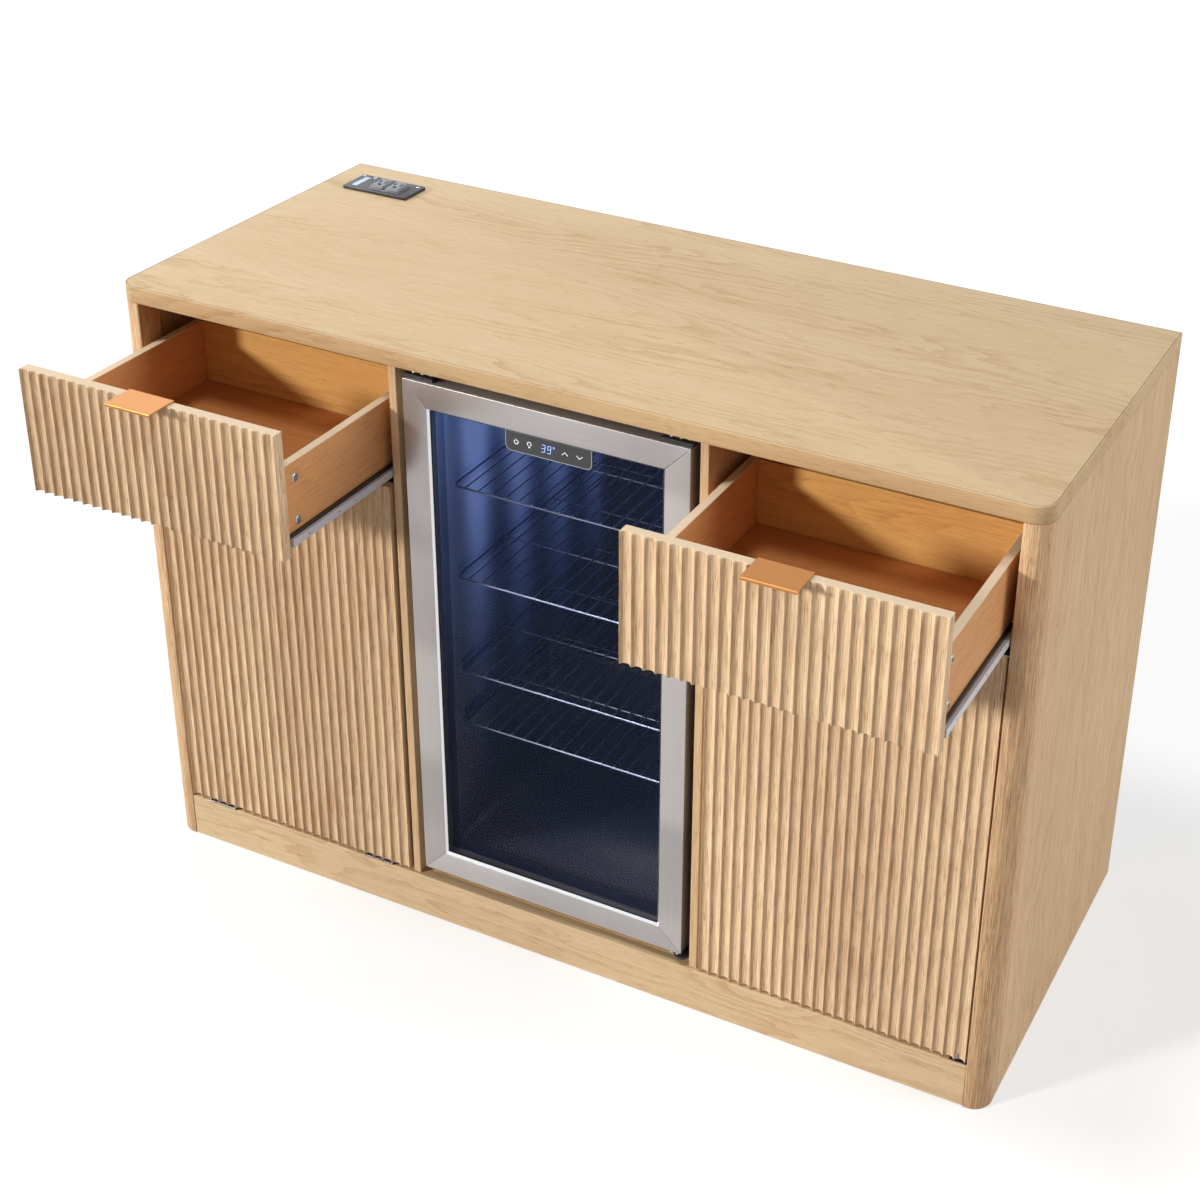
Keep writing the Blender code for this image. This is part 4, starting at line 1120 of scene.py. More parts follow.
class FlutedBoard(Recipe):
    """A board whose face is a row of hollow flutes."""

    name = "fluted_board"
    usual = {
        "Low": (0.0, 0.0, 0.0), "High": (0.4, 0.018, 0.2), "Flutes": 25, "Steps": 20,
        "Depth": 0.005, "Land": 0.0012, "Softness": 0.0012, "Chamfer": 0.0006,
    }

    def build(self, graph: Graph) -> Any:
        """A grid is pressed into flutes, pushed back to a flat rear and closed.

        Args:
            graph: The nodes of the tree.

        Returns:
            The last node's output.
        """
        low_x, low_y, low_z = graph.split(self.input("Low"))
        high_x, high_y, high_z = graph.split(self.input("High"))
        width, height = high_x - low_x, high_z - low_z
        depth, chamfer = self.input("Depth"), self.input("Chamfer")
        columns = self.input("Flutes") * self.input("Steps") + 1
        grid = graph.geo("MeshGrid", Size_X=width, Size_Y=height, Vertices_X=columns,
                         Vertices_Y=4)
        across, along, _ = graph.split(graph.geo("InputPosition"))
        pitch = width / self.input("Flutes")
        cell = ((across + width / 2) / pitch + 1e-4).math("FRACT")
        from_middle = abs((cell - 0.5) * pitch)
        half = (pitch - self.input("Land")) / 2
        radius = (half * half + depth * depth) / (depth * 2)
        rise = (radius * radius - from_middle * from_middle).math("MAXIMUM", 0.0)
        hollow = depth - radius + rise.math("SQRT")
        hollow = hollow.math("SMOOTH_MAX", 0.0, self.input("Softness"))
        outer_row = (abs(along) - height / 3 + 1e-5).math("GREATER_THAN", 0.0)
        row = along.math("SIGN") * (height / 2 - chamfer * (1 - outer_row))
        face = graph.vector(low_x + width / 2 + across, low_y + hollow + outer_row * chamfer,
                            low_z + height / 2 + row)
        front = graph.geo("SetPosition", Geometry=grid, Position=face)
        pushed = graph.node("GeometryNodeExtrudeMesh", None, {
            "Mesh": front, "Offset": graph.vector(0.0, 1.0, 0.0), "Offset Scale": 0.01,
            "Individual": False,
        })
        x, _, z = graph.split(graph.geo("InputPosition"))
        rear = graph.geo("SetPosition", Geometry=pushed.outputs["Mesh"],
                         Selection=pushed.outputs["Top"], Position=graph.vector(x, high_y, z))
        lid = graph.geo("FlipFaces", Mesh=front)
        joined = graph.geo("JoinGeometry", Geometry=[rear, lid])
        return graph.geo("MergeByDistance", Geometry=joined, Distance=1e-6)

    def fit(self, name: str, finish: Finish, body: Body, node: str) -> None:
        """Put a fluted board in a node's place.

        Args:
            name: The piece's name.
            finish: Its finish.
            body: The body that it rides on.
            node: The node that it stands for.
        """
        low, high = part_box(node)
        board = self.cook(name, finish, Low=tuple(low), High=tuple(high), Flutes=25)
        attach(board, body, "oak", node)


class CrossScrews(Recipe):
    """Round screw heads with a cross recess, one at each point."""

    name = "cross_screws"
    usual = {"Facing": (0.0, 0.0, 1.0), "Radius": 0.005, "Height": 0.002, "Recess": 0.0012}

    def build(self, graph: Graph) -> Any:
        """A turned head, less two crossed bars, stands on each point.

        Args:
            graph: The nodes of the tree.

        Returns:
            The last node's output.
        """
        radius, height = self.input("Radius"), self.input("Height")
        recess = self.input("Recess")
        drum = graph.geo("MeshCylinder", {"fill_type": "NGON"}, Vertices=28,
                         Side_Segments=3, Radius=radius, Depth=height)
        x, y, z = graph.split(graph.geo("InputPosition"))
        climb = (z / height + 0.5).math("MAXIMUM", 0.0)
        shrink = 1 - climb ** 3 * 0.28
        place = graph.vector(x * shrink, y * shrink, z + height / 2)
        domed = graph.geo("SetPosition", Geometry=drum, Position=place)
        bars = []
        span, deep = radius * 1.15, height * 1.6
        for size in ((span, recess, deep), (recess, span, deep)):
            bar = graph.geo("MeshCube", Size=graph.vector(*size))
            lift = graph.vector(0.0, 0.0, height)
            bars.append(graph.geo("Transform", Geometry=bar, Translation=lift))
        cut = graph.node("GeometryNodeMeshBoolean",
                         {"operation": "DIFFERENCE", "solver": "EXACT"},
                         {"Mesh 1": domed, "Mesh 2": bars}).outputs[0]
        turn = graph.node("FunctionNodeAlignRotationToVector", {"axis": "Z"},
                          {"Vector": self.input("Facing")}).outputs[0]
        return graph.geo("InstanceOnPoints", Points=self.given.outputs["Geometry"],
                         Instance=cut, Rotation=turn)

    def fit(self, name: str, finish: Finish, body: Body, spots: Sequence[Point],
            sizes: Point, facing: Point = (0.0, 0.0, 1.0)) -> None:
        """Put a screw head at each of some points.

        Args:
            name: The piece's name.
            finish: Its finish.
            body: The body that it rides on.
            spots: The points.
            sizes: Radius, height and width of the recess.
            facing: The way that the heads face.
        """
        radius, height, recess = sizes
        made = self.cook(name, finish, spots, Facing=facing, Radius=radius, Height=height,
                         Recess=recess)
        attach(made, body, "zinc")


class WireGrid(Recipe):
    """A shelf of straight wires on a rounded rod frame with two cross rods."""

    name = "wire_grid"
    usual = {
        "Low": (-0.18, -0.2, 0.0), "High": (0.18, 0.1, 0.0), "Wires": 14,
        "Wire Radius": 0.0011, "Rod Radius": 0.002, "Corner": 0.012,
    }

    def build(self, graph: Graph) -> Any:
        """Wires stand along a line of points, and the rod follows a filleted loop.

        Args:
            graph: The nodes of the tree.

        Returns:
            The last node's output.
        """
        low_x, low_y, low_z = graph.split(self.input("Low"))
        high_x, high_y, high_z = graph.split(self.input("High"))
        rod, wire = self.input("Rod Radius"), self.input("Wire Radius")
        width, depth = high_x - low_x - rod * 2, high_y - low_y - rod * 2
        middle_x, middle_y = (low_x + high_x) / 2, (low_y + high_y) / 2
        rod_z = high_z - wire * 2 - rod
        step = width / (self.input("Wires") + 1)
        wires = self.row(
            self.input("Wires"), (low_x + rod + step, middle_y, high_z - wire),
            (step, 0.0, 0.0), (wire, depth + rod, (math.pi / 2, 0, 0)),
        )
        crosses = self.row(
            2, (middle_x, low_y + depth / 3, rod_z), (0.0, depth / 3, 0.0),
            (rod * 0.8, width, (0, math.pi / 2, 0)),
        )
        loop = graph.geo("CurvePrimitiveQuadrilateral", Width=width, Height=depth)
        loop = graph.geo("FilletCurve", {"mode": "POLY"}, Curve=loop, Count=6,
                         Radius=self.input("Corner"))
        ring = graph.geo("CurvePrimitiveCircle", Resolution=10, Radius=rod)
        frame = graph.geo("CurveToMesh", Curve=loop, Profile_Curve=ring)
        frame = graph.geo("Transform", Geometry=frame,
                          Translation=graph.vector(middle_x, middle_y, rod_z))
        return graph.geo("JoinGeometry", Geometry=[wires, crosses, frame])

    def row(self, count: Any, start: tuple, offset: tuple, bar: tuple) -> Any:
        """Put equal bars along a line.

        Args:
            count: How many.
            start: The middle of the first one.
            offset: The way from each to the next.
            bar: The radius, length and turn of each.

        Returns:
            The bars.
        """
        graph = self.graph
        radius, length, turn = bar
        line = graph.geo("MeshLine", {"mode": "OFFSET"}, Count=count,
                         Start_Location=graph.vector(*start), Offset=graph.vector(*offset))
        made = graph.geo("MeshCylinder", {"fill_type": "NGON"}, Vertices=10, Radius=radius,
                         Depth=length)
        made = graph.geo("Transform", Geometry=made, Rotation=turn)
        return graph.geo("InstanceOnPoints", Points=line, Instance=made)


class RibRow(Recipe):
    """Equal rounded bars in a row, such as ledges, louvres or grip ribs."""

    name = "rib_row"
    usual = {
        "First": (0.0, 0.0, 0.0), "Step": (0.0, 0.0, 0.1), "Count": 4,
        "Size": (0.004, 0.3, 0.006), "Corner": 0.0015,
    }

    def build(self, graph: Graph) -> Any:
        """A filleted loop, filled and pushed along its long side, stands on each point.

        Args:
            graph: The nodes of the tree.

        Returns:
            The last node's output.
        """
        size_x, size_y, size_z = graph.split(self.input("Size"))
        loop = graph.geo("CurvePrimitiveQuadrilateral", Width=size_x, Height=size_z)
        loop = graph.geo("FilletCurve", {"mode": "POLY"}, Curve=loop, Count=3,
                         Radius=self.input("Corner"))
        path = graph.geo("CurvePrimitiveLine", Start=graph.vector(0.0, 0.0, size_y * -0.5),
                         End=graph.vector(0.0, 0.0, size_y * 0.5))
        bar = graph.geo("CurveToMesh", Curve=path, Profile_Curve=loop, Fill_Caps=True)
        bar = graph.geo("Transform", Geometry=bar, Rotation=(math.pi / 2, 0, 0))
        line = graph.geo("MeshLine", {"mode": "OFFSET"}, Count=self.input("Count"),
                         Start_Location=self.input("First"), Offset=self.input("Step"))
        return graph.geo("InstanceOnPoints", Points=line, Instance=bar)


@dataclass
class Recipes:
    """The Geometry Nodes trees that the sub-assemblies share."""

    flutes: FlutedBoard
    screws: CrossScrews
    wires: WireGrid
    ribs: RibRow


@dataclass
class Assembly:
    """A group of pieces that is built together with the shared trees."""

    recipes: Recipes

    def build(self) -> None:
        """Make the pieces. Each group does this its own way."""
        raise NotImplementedError


@dataclass
class Worktop(Assembly):
    """The top board with its rounded front corners and the power module let into it."""

    corner: float = 0.028
    edge: float = 0.0014
    steps: int = 20
    hole_inset: Point = (0.006, 0.005, 0.0)
    seam_insets: Flat = (0.0016, 0.0023)
    seam_rise: float = 0.00006

    def build(self) -> None:
        """Make the board with its opening."""
        low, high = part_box("top_board")
        outline = [(high.x, high.y), (low.x, high.y)]
        outline += near_corners(low.xy, high.xy, self.corner, 0.0, self.steps)
        shape = Shape().prism(outline, low.z, high.z, Axis.Z, self.edge, 3)
        board = shape.made("worktop", replace(OAK_TOP, band=high.z - 0.0010))
        box_low, box_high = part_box("power_housing")
        inset = Vector(self.hole_inset)
        cutter = Shape().box(
            Vector((box_low.x, box_low.y, low.z - 0.01)) + inset,
            Vector((box_high.x, box_high.y, high.z + 0.01)) - inset,
        ).made("worktop_hole", BLACK)
        change = board.modifiers.new("hole", "BOOLEAN")
        change.object = cutter
        change.solver = "EXACT"
        settle(board)
        bpy.data.objects.remove(cutter)
        attach(board, Body.CARCASS, "oak", "top_board")
        self.seam(low, high)

    def seam(self, low: Vector, high: Vector) -> None:
        """Lay the dark joint line between the laminate and its edge band.

        Args:
            low: The board's lowest corner.
            high: The board's highest corner.
        """
        outer, inner = self.seam_insets
        rings = []
        for inset, rise in ((outer, 0.0), (outer, self.seam_rise),
                            (inner, self.seam_rise), (inner, 0.0)):
            loop = [(high.x - inset, high.y - inset), (low.x + inset, high.y - inset)]
            loop += near_corners(low.xy, high.xy, self.corner, inset, self.steps)
            rings.append([(u, v, high.z + rise) for u, v in loop])
        Shape().hoop(rings).fit("edge_seam", SEAM, Body.CARCASS, "oak")


@dataclass
class PowerModule(Assembly):
    """Black bezel with two outlets, a pale strip and three screws."""

    plate: float = 0.0048
    chamfer: float = 0.0005
    corner: float = 0.0025
    outlet_pitch: float = 0.0285
    blade_pitch: float = 0.0115
    slot: float = 0.0030

    def build(self) -> None:
        """Make the bezel, the outlets, the strip and the screws."""
        low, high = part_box("power_housing")
        field_low, field_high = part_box("power_sockets")
        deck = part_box("top_board")[1].z
        top = deck + self.plate
        edge = high.x - 0.003
        x, y = (low.x + edge) / 2, (low.y + high.y) / 2
        outline: list[Flat] = []
        for across, deep, start in ((1, 1, 0), (-1, 1, 90), (-1, -1, 180), (1, -1, 270)):
            centre = (x + across * ((edge - low.x) / 2 - self.corner),
                      y + deep * ((high.y - low.y) / 2 - self.corner))
            outline += arc(centre, self.corner, start, start + 90, 5)
        shape = Shape().prism(outline, deck + PROUD, top, Axis.Z, self.chamfer)
        shape.block((x, y), (0.054, 0.024), low.z, deck + 0.001, 0.002)
        shape.fit("power_bezel", BLACK, Body.CARCASS, "black_plastic", "power_housing")

        middle = (field_low.x + field_high.x) / 2 + 0.004
        rim = Shape().block((middle, y), (0.0275, 0.0205), top - 0.001, top + 0.0006, 0.0005)
        # dark holds the near-black slot sheets, painted shade of the socket holes.
        dark = Shape()
        for side in Side:
            spot = (middle + side.value * self.outlet_pitch / 2, y)
            self.outlet(rim, spot, top + 0.0004, field_high.z)
            dark.block(spot, (0.0102, 0.0165), field_high.z - 0.0020, field_high.z - 0.0010)
        rim.fit("power_outlets", OUTLET, Body.CARCASS, "black_plastic", "power_sockets")
        dark.fit("outlet_slots", SLOT, Body.CARCASS, "black_plastic")
        strip = Shape().block((low.x + 0.0160, y), (0.0048, 0.0205), top - 0.0005,
                              top + 0.0006, 0.0004)
        strip.fit("power_strip", STRIP, Body.CARCASS, "black_plastic")
        spots = [
            (low.x + 0.0055, high.y - 0.006, top),
            (low.x + 0.0265, high.y - 0.006, top),
            (high.x - 0.012, high.y - 0.0085, top),
        ]
        self.recipes.screws.fit("bezel_screws", CHROME, Body.CARCASS, spots,
                           (0.0024, 0.0011, 0.0008))

    def outlet(self, shape: Shape, centre: Flat, base: float, top: float) -> None:
        """Add one outlet block. Bars on its face leave its slots and its earth hole free.

        Args:
            shape: The shape that it joins.
            centre: Its middle.
            base: Where it starts.
            top: Its face.
        """
        deep = top - 0.0012
        shape.block(centre, (0.0122, 0.0185), base, deep, 0.0012, 3)
        near, far = (self.blade_pitch - self.slot) / 2, (self.blade_pitch + self.slot) / 2
        side, earth = 0.0105, 0.0034
        x, y = centre
        for left, right, front, back in (
            (-side, -far, -0.0010, 0.0090), (-near, near, -0.0010, 0.0090),
            (far, side, -0.0010, 0.0090), (-side, side, 0.0090, 0.0168),
            (-side, side, -0.0045, -0.0010), (-side, -earth, -0.0168, -0.0045),
            (earth, side, -0.0168, -0.0045), (-earth, earth, -0.0168, -0.0112),
        ):
            shape.box((x + left, y + front, deep), (x + right, y + back, top), 0.0003)


@dataclass
class CornerPost:
    """A front corner post with its quarter-round outer edge."""

    side: Side
    corner: float = 0.028

    def build(self) -> None:
        """Make the post."""
        node = self.side.label + "_corner_post"
        low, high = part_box(node)
        sign = self.side.value
        inner, outer = (low.x, high.x) if sign > 0 else (high.x, low.x)
        centre = (outer - sign * self.corner, low.y + self.corner)
        curve = arc(centre, self.corner, 270, 360 if sign > 0 else 180, 20)
        outline = [(inner, high.y), (inner, low.y), *curve, (outer, high.y)]
        post = Shape().prism(outline, low.z, high.z, Axis.Z, 0.0006)
        post.fit(self.side.label + "_post", OAK_POST, Body.CARCASS, "oak", node)


@dataclass
class Carcass(Assembly):
    """The boards that stand still, and the back with its screws."""

    screw_pitch: float = 0.165
    screw_inset: float = 0.009
    lowest_screws: float = 0.0654
    divider: float = 0.238
    pin_inset: float = 0.05

    def build(self) -> None:
        """Round the boards, screw the back on and set the shelf's pins."""
        boards = {
            "left_side_panel": OAK_SIDE,
            "right_side_panel": OAK_SIDE,
            "kickboard": OAK_EDGE,
            "bottom_panel": OAK_DECK_BOUNCE_LIT,
            "left_divider": OAK_UPRIGHT,
            "right_divider": OAK_UPRIGHT,
            "right_bay_shelf": OAK_EDGE,
            "left_runner_packer": OAK_BOX,
            "right_runner_packer": OAK_BOX,
            "centre_floor_rail": OAK_BOX,
        }
        for node, finish in boards.items():
            soften(node, finish, Body.CARCASS, "oak")
        soften("back_panel", BACK_BOARD, Body.CARCASS, "back_board", 0.0004)
        for side in Side:
            CornerPost(side).build()
            for end in ("inner", "outer"):
                dress(f"{side.label}_drawer_{end}_channel", COATED)
        self.back_screws()
        self.shelf_pins()

    def back_screws(self) -> None:
        """Put screws round the back panel and up the two dividers."""
        low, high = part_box("back_panel")
        inset = self.screw_inset
        wide, tall = (span - 2 * inset for span in (high.x - low.x, high.z - low.z))
        across, up = (math.floor(span / self.screw_pitch) for span in (wide, tall))
        spots: list[Point] = [
            (low.x + inset + wide * i / across, high.y, z)
            for i in range(across + 1) for z in (self.lowest_screws, high.z - inset)
        ]
        spots += [
            (x, high.y, low.z + inset + tall * j / up)
            for j in range(1, up)
            for x in (low.x + inset, -self.divider, self.divider, high.x - inset)
        ]
        self.recipes.screws.fit("back_screws", ZINC, Body.CARCASS, spots,
                           (0.0038, 0.0016, 0.0010), (0.0, 1.0, 0.0))

    def shelf_pins(self) -> None:
        """Set a pin with its collar under each corner of the right bay's shelf."""
        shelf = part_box("right_bay_shelf")
        pins = Shape()
        for corner, inward in zip(shelf, (1, -1)):
            for y in (shelf[0].y + self.pin_inset, shelf[1].y - self.pin_inset):
                for radius, length, drop, steps in ((0.0025, 0.0085, 0.0026, 16),
                                                    (0.0042, 0.0016, 0.0044, 20)):
                    foot = (corner.x, y, shelf[0].z - drop)
                    pins.disc(radius, length, foot, (inward, 0, 0), steps)
        pins.fit("shelf_pins", ZINC, Body.CARCASS, "zinc")


@dataclass
class Drawer(Assembly):
    """One drawer: fluted front, rounded box boards, copper pull, runners and screws."""

    side: Side

    def build(self) -> None:
        """Make the drawer's pieces."""
        stem = self.side.label + "_drawer_"
        body = Body[self.side.name + "_DRAWER"]
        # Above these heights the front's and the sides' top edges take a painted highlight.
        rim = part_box(stem + "front")[1].z - 0.0008
        self.recipes.flutes.fit(stem + "fluted_front", replace(OAK_FLUTE, rim=rim), body,
                           stem + "front")
        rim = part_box(stem + "inner_side")[1].z - 0.0008
        for board in ("inner_side", "outer_side"):
            soften(stem + board, replace(OAK_BOX, rim=rim), body, "oak", 0.0005)
        soften(stem + "back", OAK_BOX_BACK, body, "oak", 0.0005)
        soften(stem + "floor", OAK_BOX_FLOOR, body, "oak", 0.0003)
        soften(stem + "pull", COPPER, body, "copper", 0.0010, 4)
        for end, outward in (("inner", -1), ("outer", 1)):
            sign = self.side.value * outward
            self.runner(stem + end, sign, body)
            self.screws(stem + end, sign, body)
            self.runner_holes(stem + end, sign, body)

    def runner(self, stem: str, sign: int, body: Body) -> None:
        """Make one runner: a web under the box side and a strip with a groove above.

        Args:
            stem: The start of the side's node names.
            sign: -1 on the drawer's left and 1 on its right.
            body: The drawer's body.
        """
        node = stem + "_runner"
        low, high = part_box(node)
        side_low, side_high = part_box(stem + "_side")
        inner, outer = (low.x, high.x) if sign > 0 else (high.x, low.x)
        wall = (side_high.x if sign > 0 else side_low.x) + sign * 0.0001
        web, strip, sunk = side_low.z - 0.0001, high.z - 0.0044, outer - sign * 0.0050
        outline = [
            (inner, low.z), (outer, low.z), (outer, strip), (wall, strip), (wall, web),
            (inner, web),
        ]
        shape = Shape().prism(outline, low.y, high.y, Axis.Y, 0.0003, 1)
        shape.fit(node + "_strip", COATED, body, "coated_steel", node)
        # The dark track partly paints the shade in the groove above the strip.
        track = [(wall, strip), (sunk, strip), (sunk, high.z), (wall, high.z)]
        shape = Shape().prism(track, low.y, high.y, Axis.Y, 0.0003, 1)
        shape.fit(node + "_track", TRACK, body, "coated_steel")

    def screws(self, stem: str, sign: int, body: Body) -> None:
        """Put the screws in one side of the box.

        Args:
            stem: The start of the side's node names.
            sign: -1 on the drawer's left and 1 on its right.
            body: The drawer's body.
        """
        low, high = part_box(stem + "_side")
        face = high.x if sign > 0 else low.x
        spots = [(face, y, z) for y in (low.y + 0.028, high.y - 0.006)
                 for z in (high.z - 0.0238, low.z + 0.0262)]
        self.recipes.screws.fit(stem + "_screws", SCREW, body, spots,
                           (0.0066, 0.0018, 0.0024), (float(sign), 0.0, 0.0))

    def runner_holes(self, stem: str, sign: int, body: Body) -> None:
        """Mark the small holes along one runner with thin black discs, painted shade of the
        holes.

        Args:
            stem: The start of the side's node names.
            sign: -1 on the drawer's left and 1 on its right.
            body: The drawer's body.
        """
        low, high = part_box(stem + "_runner")
        face = high.x if sign > 0 else low.x
        shape = Shape()
        for share in (0.10, 0.30, 0.41, 0.62, 0.86):
            spot = (face, low.y + (high.y - low.y) * share, low.z + 0.0055)
            shape.disc(0.0013, 0.00005, spot, (sign, 0, 0), 16)
        shape.fit(stem + "_runner_holes", BLACK, body, "coated_steel")


@dataclass
class Flap(Assembly):
    """The tilt-out flap with its two butt hinges and the bin behind it."""

    knuckle: float = 0.0017
    play: float = 0.00025
    leaf: float = 0.001
    bin_foot: float = 0.170
    bin_corner: float = 0.014
    bin_wall: float = 0.003

    def build(self) -> None:
        """Make the flap, hinges and bin."""
        self.recipes.flutes.fit("flap_fluted_front", OAK_FLUTE, Body.FLAP, "flap_panel")
        for side in Side:
            self.hinge(side.label + "_hinge")
        self.bin()

    def hinge(self, stem: str) -> None:
        """Make one butt hinge: two leaves with turned knuckles.

        Args:
            stem: The start of its piece names.
        """
        low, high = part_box(f"flap_{stem}_fixed_leaf")
        moving_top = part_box(f"flap_{stem}_moving_leaf")[1].z
        radius, play = self.knuckle, self.play
        axis_y = low.y + radius
        axis_z = min(low.z + radius, high.z - radius)
        third = (high.x - low.x) / 3
        for body, foot, thirds, leaf in (
            (Body.CARCASS, low.z, (0, 2), "_fixed_leaf"),
            (Body.FLAP, moving_top - self.leaf, (1,), "_moving_leaf"),
        ):
            top = foot + self.leaf
            shape = Shape().box((low.x, axis_y + radius + 0.0004, foot),
                                (high.x, high.y, top), 0.0003)
            for number in thirds:
                start = low.x + number * third + (play if number else 0)
                length = third - (play if number in (0, 2) else 2 * play)
                rim = radius * 0.86
                shape.turned(
                    [(0.0, 0.0), (rim, 0.0), (radius, 0.0003), (radius, length - 0.0003),
                     (rim, length), (0.0, length)],
                    (start, axis_y, axis_z), (1, 0, 0), 24,
                )
                shape.box((start, axis_y, min(foot, axis_z)),
                          (start + length, axis_y + radius + 0.001, max(top, axis_z)), 0.0001)
            shape.fit(stem + leaf, HINGE_CHROME_SHADED, body, "chrome", f"flap_{stem}{leaf}")

    def bin(self) -> None:
        """Make the tub with its sloping back and rounded corners."""
        low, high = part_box("tilt_out_bin")
        outline = [(low.y, low.z), (low.y + self.bin_foot, low.z), (high.y, high.z),
                   (low.y, high.z)]
        tub = Shape().prism(outline, low.x, high.x, Axis.X)
        tub.open_side((0.0, 0.0, 1.0), self.bin_corner)
        tub.fit_shell("flap_bin", BIN, self.bin_wall, Body.FLAP, "bin_plastic",
                      "tilt_out_bin")


class RightDoor(Assembly):
    """The side-hung door and its two pivot plates."""

    def build(self) -> None:
        """Make the door and finish the pivots."""
        self.recipes.flutes.fit("right_door_fluted_front", OAK_FLUTE, Body.RIGHT_DOOR,
                           "right_door_panel")
        for end in ("lower", "upper"):
            # The pivots take the darkened hinge chrome, painted shade that blends them into
            # the gap.
            dress(f"door_{end}_pivot", HINGE_CHROME_SHADED)


@dataclass
class FridgeBody(Assembly):
    """The fridge's case, its rounded liner with ledges, shelves, fan cover and compressor."""

    corner: float = 0.012
    wall: float = 0.0015
    skin: float = 0.0021
    wires: int = 16
    pot: float = 0.062

    def build(self) -> None:
        """Make everything of the fridge that stands still."""
        dress("fridge_cabinet", CASE)
        self.liner()
        self.ledges()
        self.fittings()
        for number in range(1, 5):
            low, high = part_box(f"wire_shelf_{number}")
            shelf = self.recipes.wires.cook(
                f"round_wire_shelf_{number}", WIRE,
                Low=tuple(low), High=tuple(high), Wires=self.wires,
                Wire_Radius=0.0010, Rod_Radius=0.0015,
            )
            attach(shelf, Body.CARCASS, "shelf_wire", f"wire_shelf_{number}")
        self.compressor()
        self.brackets()
        self.foot()

    def liner(self) -> None:
        """Make the liner from the cavity's solid, with its front left open."""
        low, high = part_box("fridge_liner")
        skin = self.skin
        step_y, step_z = high.y - 0.160, low.z + 0.210
        outline = [
            (low.y, low.z + skin), (step_y, low.z + skin), (step_y, step_z),
            (high.y - skin, step_z), (high.y - skin, high.z - skin), (low.y, high.z - skin),
        ]
        shape = Shape().prism(outline, low.x + skin, high.x - skin, Axis.X)
        shape.open_side((0.0, -1.0, 0.0), self.corner)
        bmesh.ops.reverse_faces(shape.mesh, faces=shape.mesh.faces)
        shape.fit_shell("rounded_liner", LINER, self.wall, Body.CARCASS, "fridge_liner",
                        "fridge_liner")

    def ledges(self) -> None:
        """Put two ribs under and over each end of each shelf."""
        low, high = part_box("fridge_liner")
        for side in Side:
            face = (high.x - self.skin) if side is Side.RIGHT else (low.x + self.skin)
            for number in range(1, 5):
                near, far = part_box(f"wire_shelf_{number}")
                first = (face - side.value * 0.0028, (near.y + far.y) / 2, near.z - 0.0042)
                # The ledges take the liner's painted lamp light.
                ledge = self.recipes.ribs.cook(
                    f"{side.label}_ledge_{number}", LINER, First=first,
                    Step=(0.0, 0.0, 0.0165), Count=2,
                    Size=(0.0058, far.y - near.y - 0.02, 0.006),
                )
                attach(ledge, Body.CARCASS, "fridge_liner")

    def fittings(self) -> None:
        """Hang the lamp bar and set the fan's cover with its slats."""
        low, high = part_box("fridge_liner")
        roof, rear = high.z - self.skin, high.y - self.skin
        lamp = Shape().box((low.x + 0.05, low.y + 0.010, roof - 0.006),
                           (high.x - 0.05, low.y + 0.024, roof - PROUD), 0.002)
        lamp.fit("fridge_lamp_bar", LAMP_GLOW, Body.CARCASS, "fridge_liner")
        plate = Shape().box((-0.075, rear - 0.010, high.z - 0.300),
                            (0.075, rear - PROUD, high.z - 0.120), 0.004, 3)
        # The fan cover takes the liner's painted lamp light.
        plate.fit("fan_cover", LINER, Body.CARCASS, "fridge_liner")
        slats = self.recipes.ribs.cook(
            "fan_slats", CASE, First=(-0.0505, rear - 0.0105, high.z - 0.210),
            Step=(0.0101, 0.0, 0.0), Count=11, Size=(0.004, 0.0015, 0.110), Corner=0.0018,
        )
        attach(slats, Body.CARCASS, "fridge_liner")

    def compressor(self) -> None:
        """Turn the pot with its foot ring, its welded seam and its dome."""
        low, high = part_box("compressor")
        middle = (low + high) / 2
        height, radius = high.z - low.z, self.pot
        dome, seam = height - radius / 2, height * 0.55
        profile: list[Flat] = [
            (0.0, 0.0), (0.070, 0.0), (0.070, 0.008), (radius, 0.009),
            (radius - 0.001, seam - 0.004), (radius, seam - 0.003),
            (radius, seam + 0.003), (radius - 0.001, seam + 0.004),
        ]
        for u, v in arc((0.0, 0.0), 1.0, 0, 90, 12):
            profile.append(((radius - 0.001) * u, dome + radius / 2 * v))
        profile[-1] = (0.0, height)
        pot = Shape().turned(profile, (middle.x, middle.y, low.z), (0, 0, 1), 48)
        pot.fit("compressor_pot", POT, Body.CARCASS, "compressor", "compressor")

    def brackets(self) -> None:
        """Finish the two upper plates and the lower hinge, with their screws and rivets."""
        spots: list[Point] = []
        for name in ("upper_left_bracket", "upper_hinge_bracket"):
            soften(name, BLACK_STEEL, Body.CARCASS, "black_steel", 0.0006)
            low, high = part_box(name)
            middle = (low.x + high.x) / 2
            spots += [(middle + x, low.y + y, high.z)
                      for x, y in ((-0.012, 0.010), (0.002, 0.010), (0.014, 0.012))]
        self.recipes.screws.fit("bracket_screws", ZINC, Body.CARCASS, spots,
                           (0.0034, 0.0016, 0.0010))
        soften("lower_hinge_bracket", BLACK_STEEL, Body.CARCASS, "black_steel", 0.0004, 2, 50)
        low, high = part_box("fridge_door_frame")
        rivets = Shape()
        for inset in (0.0065, 0.0165):
            rivets.turned(
                [(0.0, 0.0), (0.0036, 0.0), (0.0036, 0.0014), (0.0028, 0.0018), (0.0, 0.0018)],
                (high.x - inset, low.y + 0.0035, low.z - 0.0021), (0, 0, 1), 24,
            )
        rivets.fit("lower_hinge_rivets", CHROME, Body.CARCASS, "chrome")

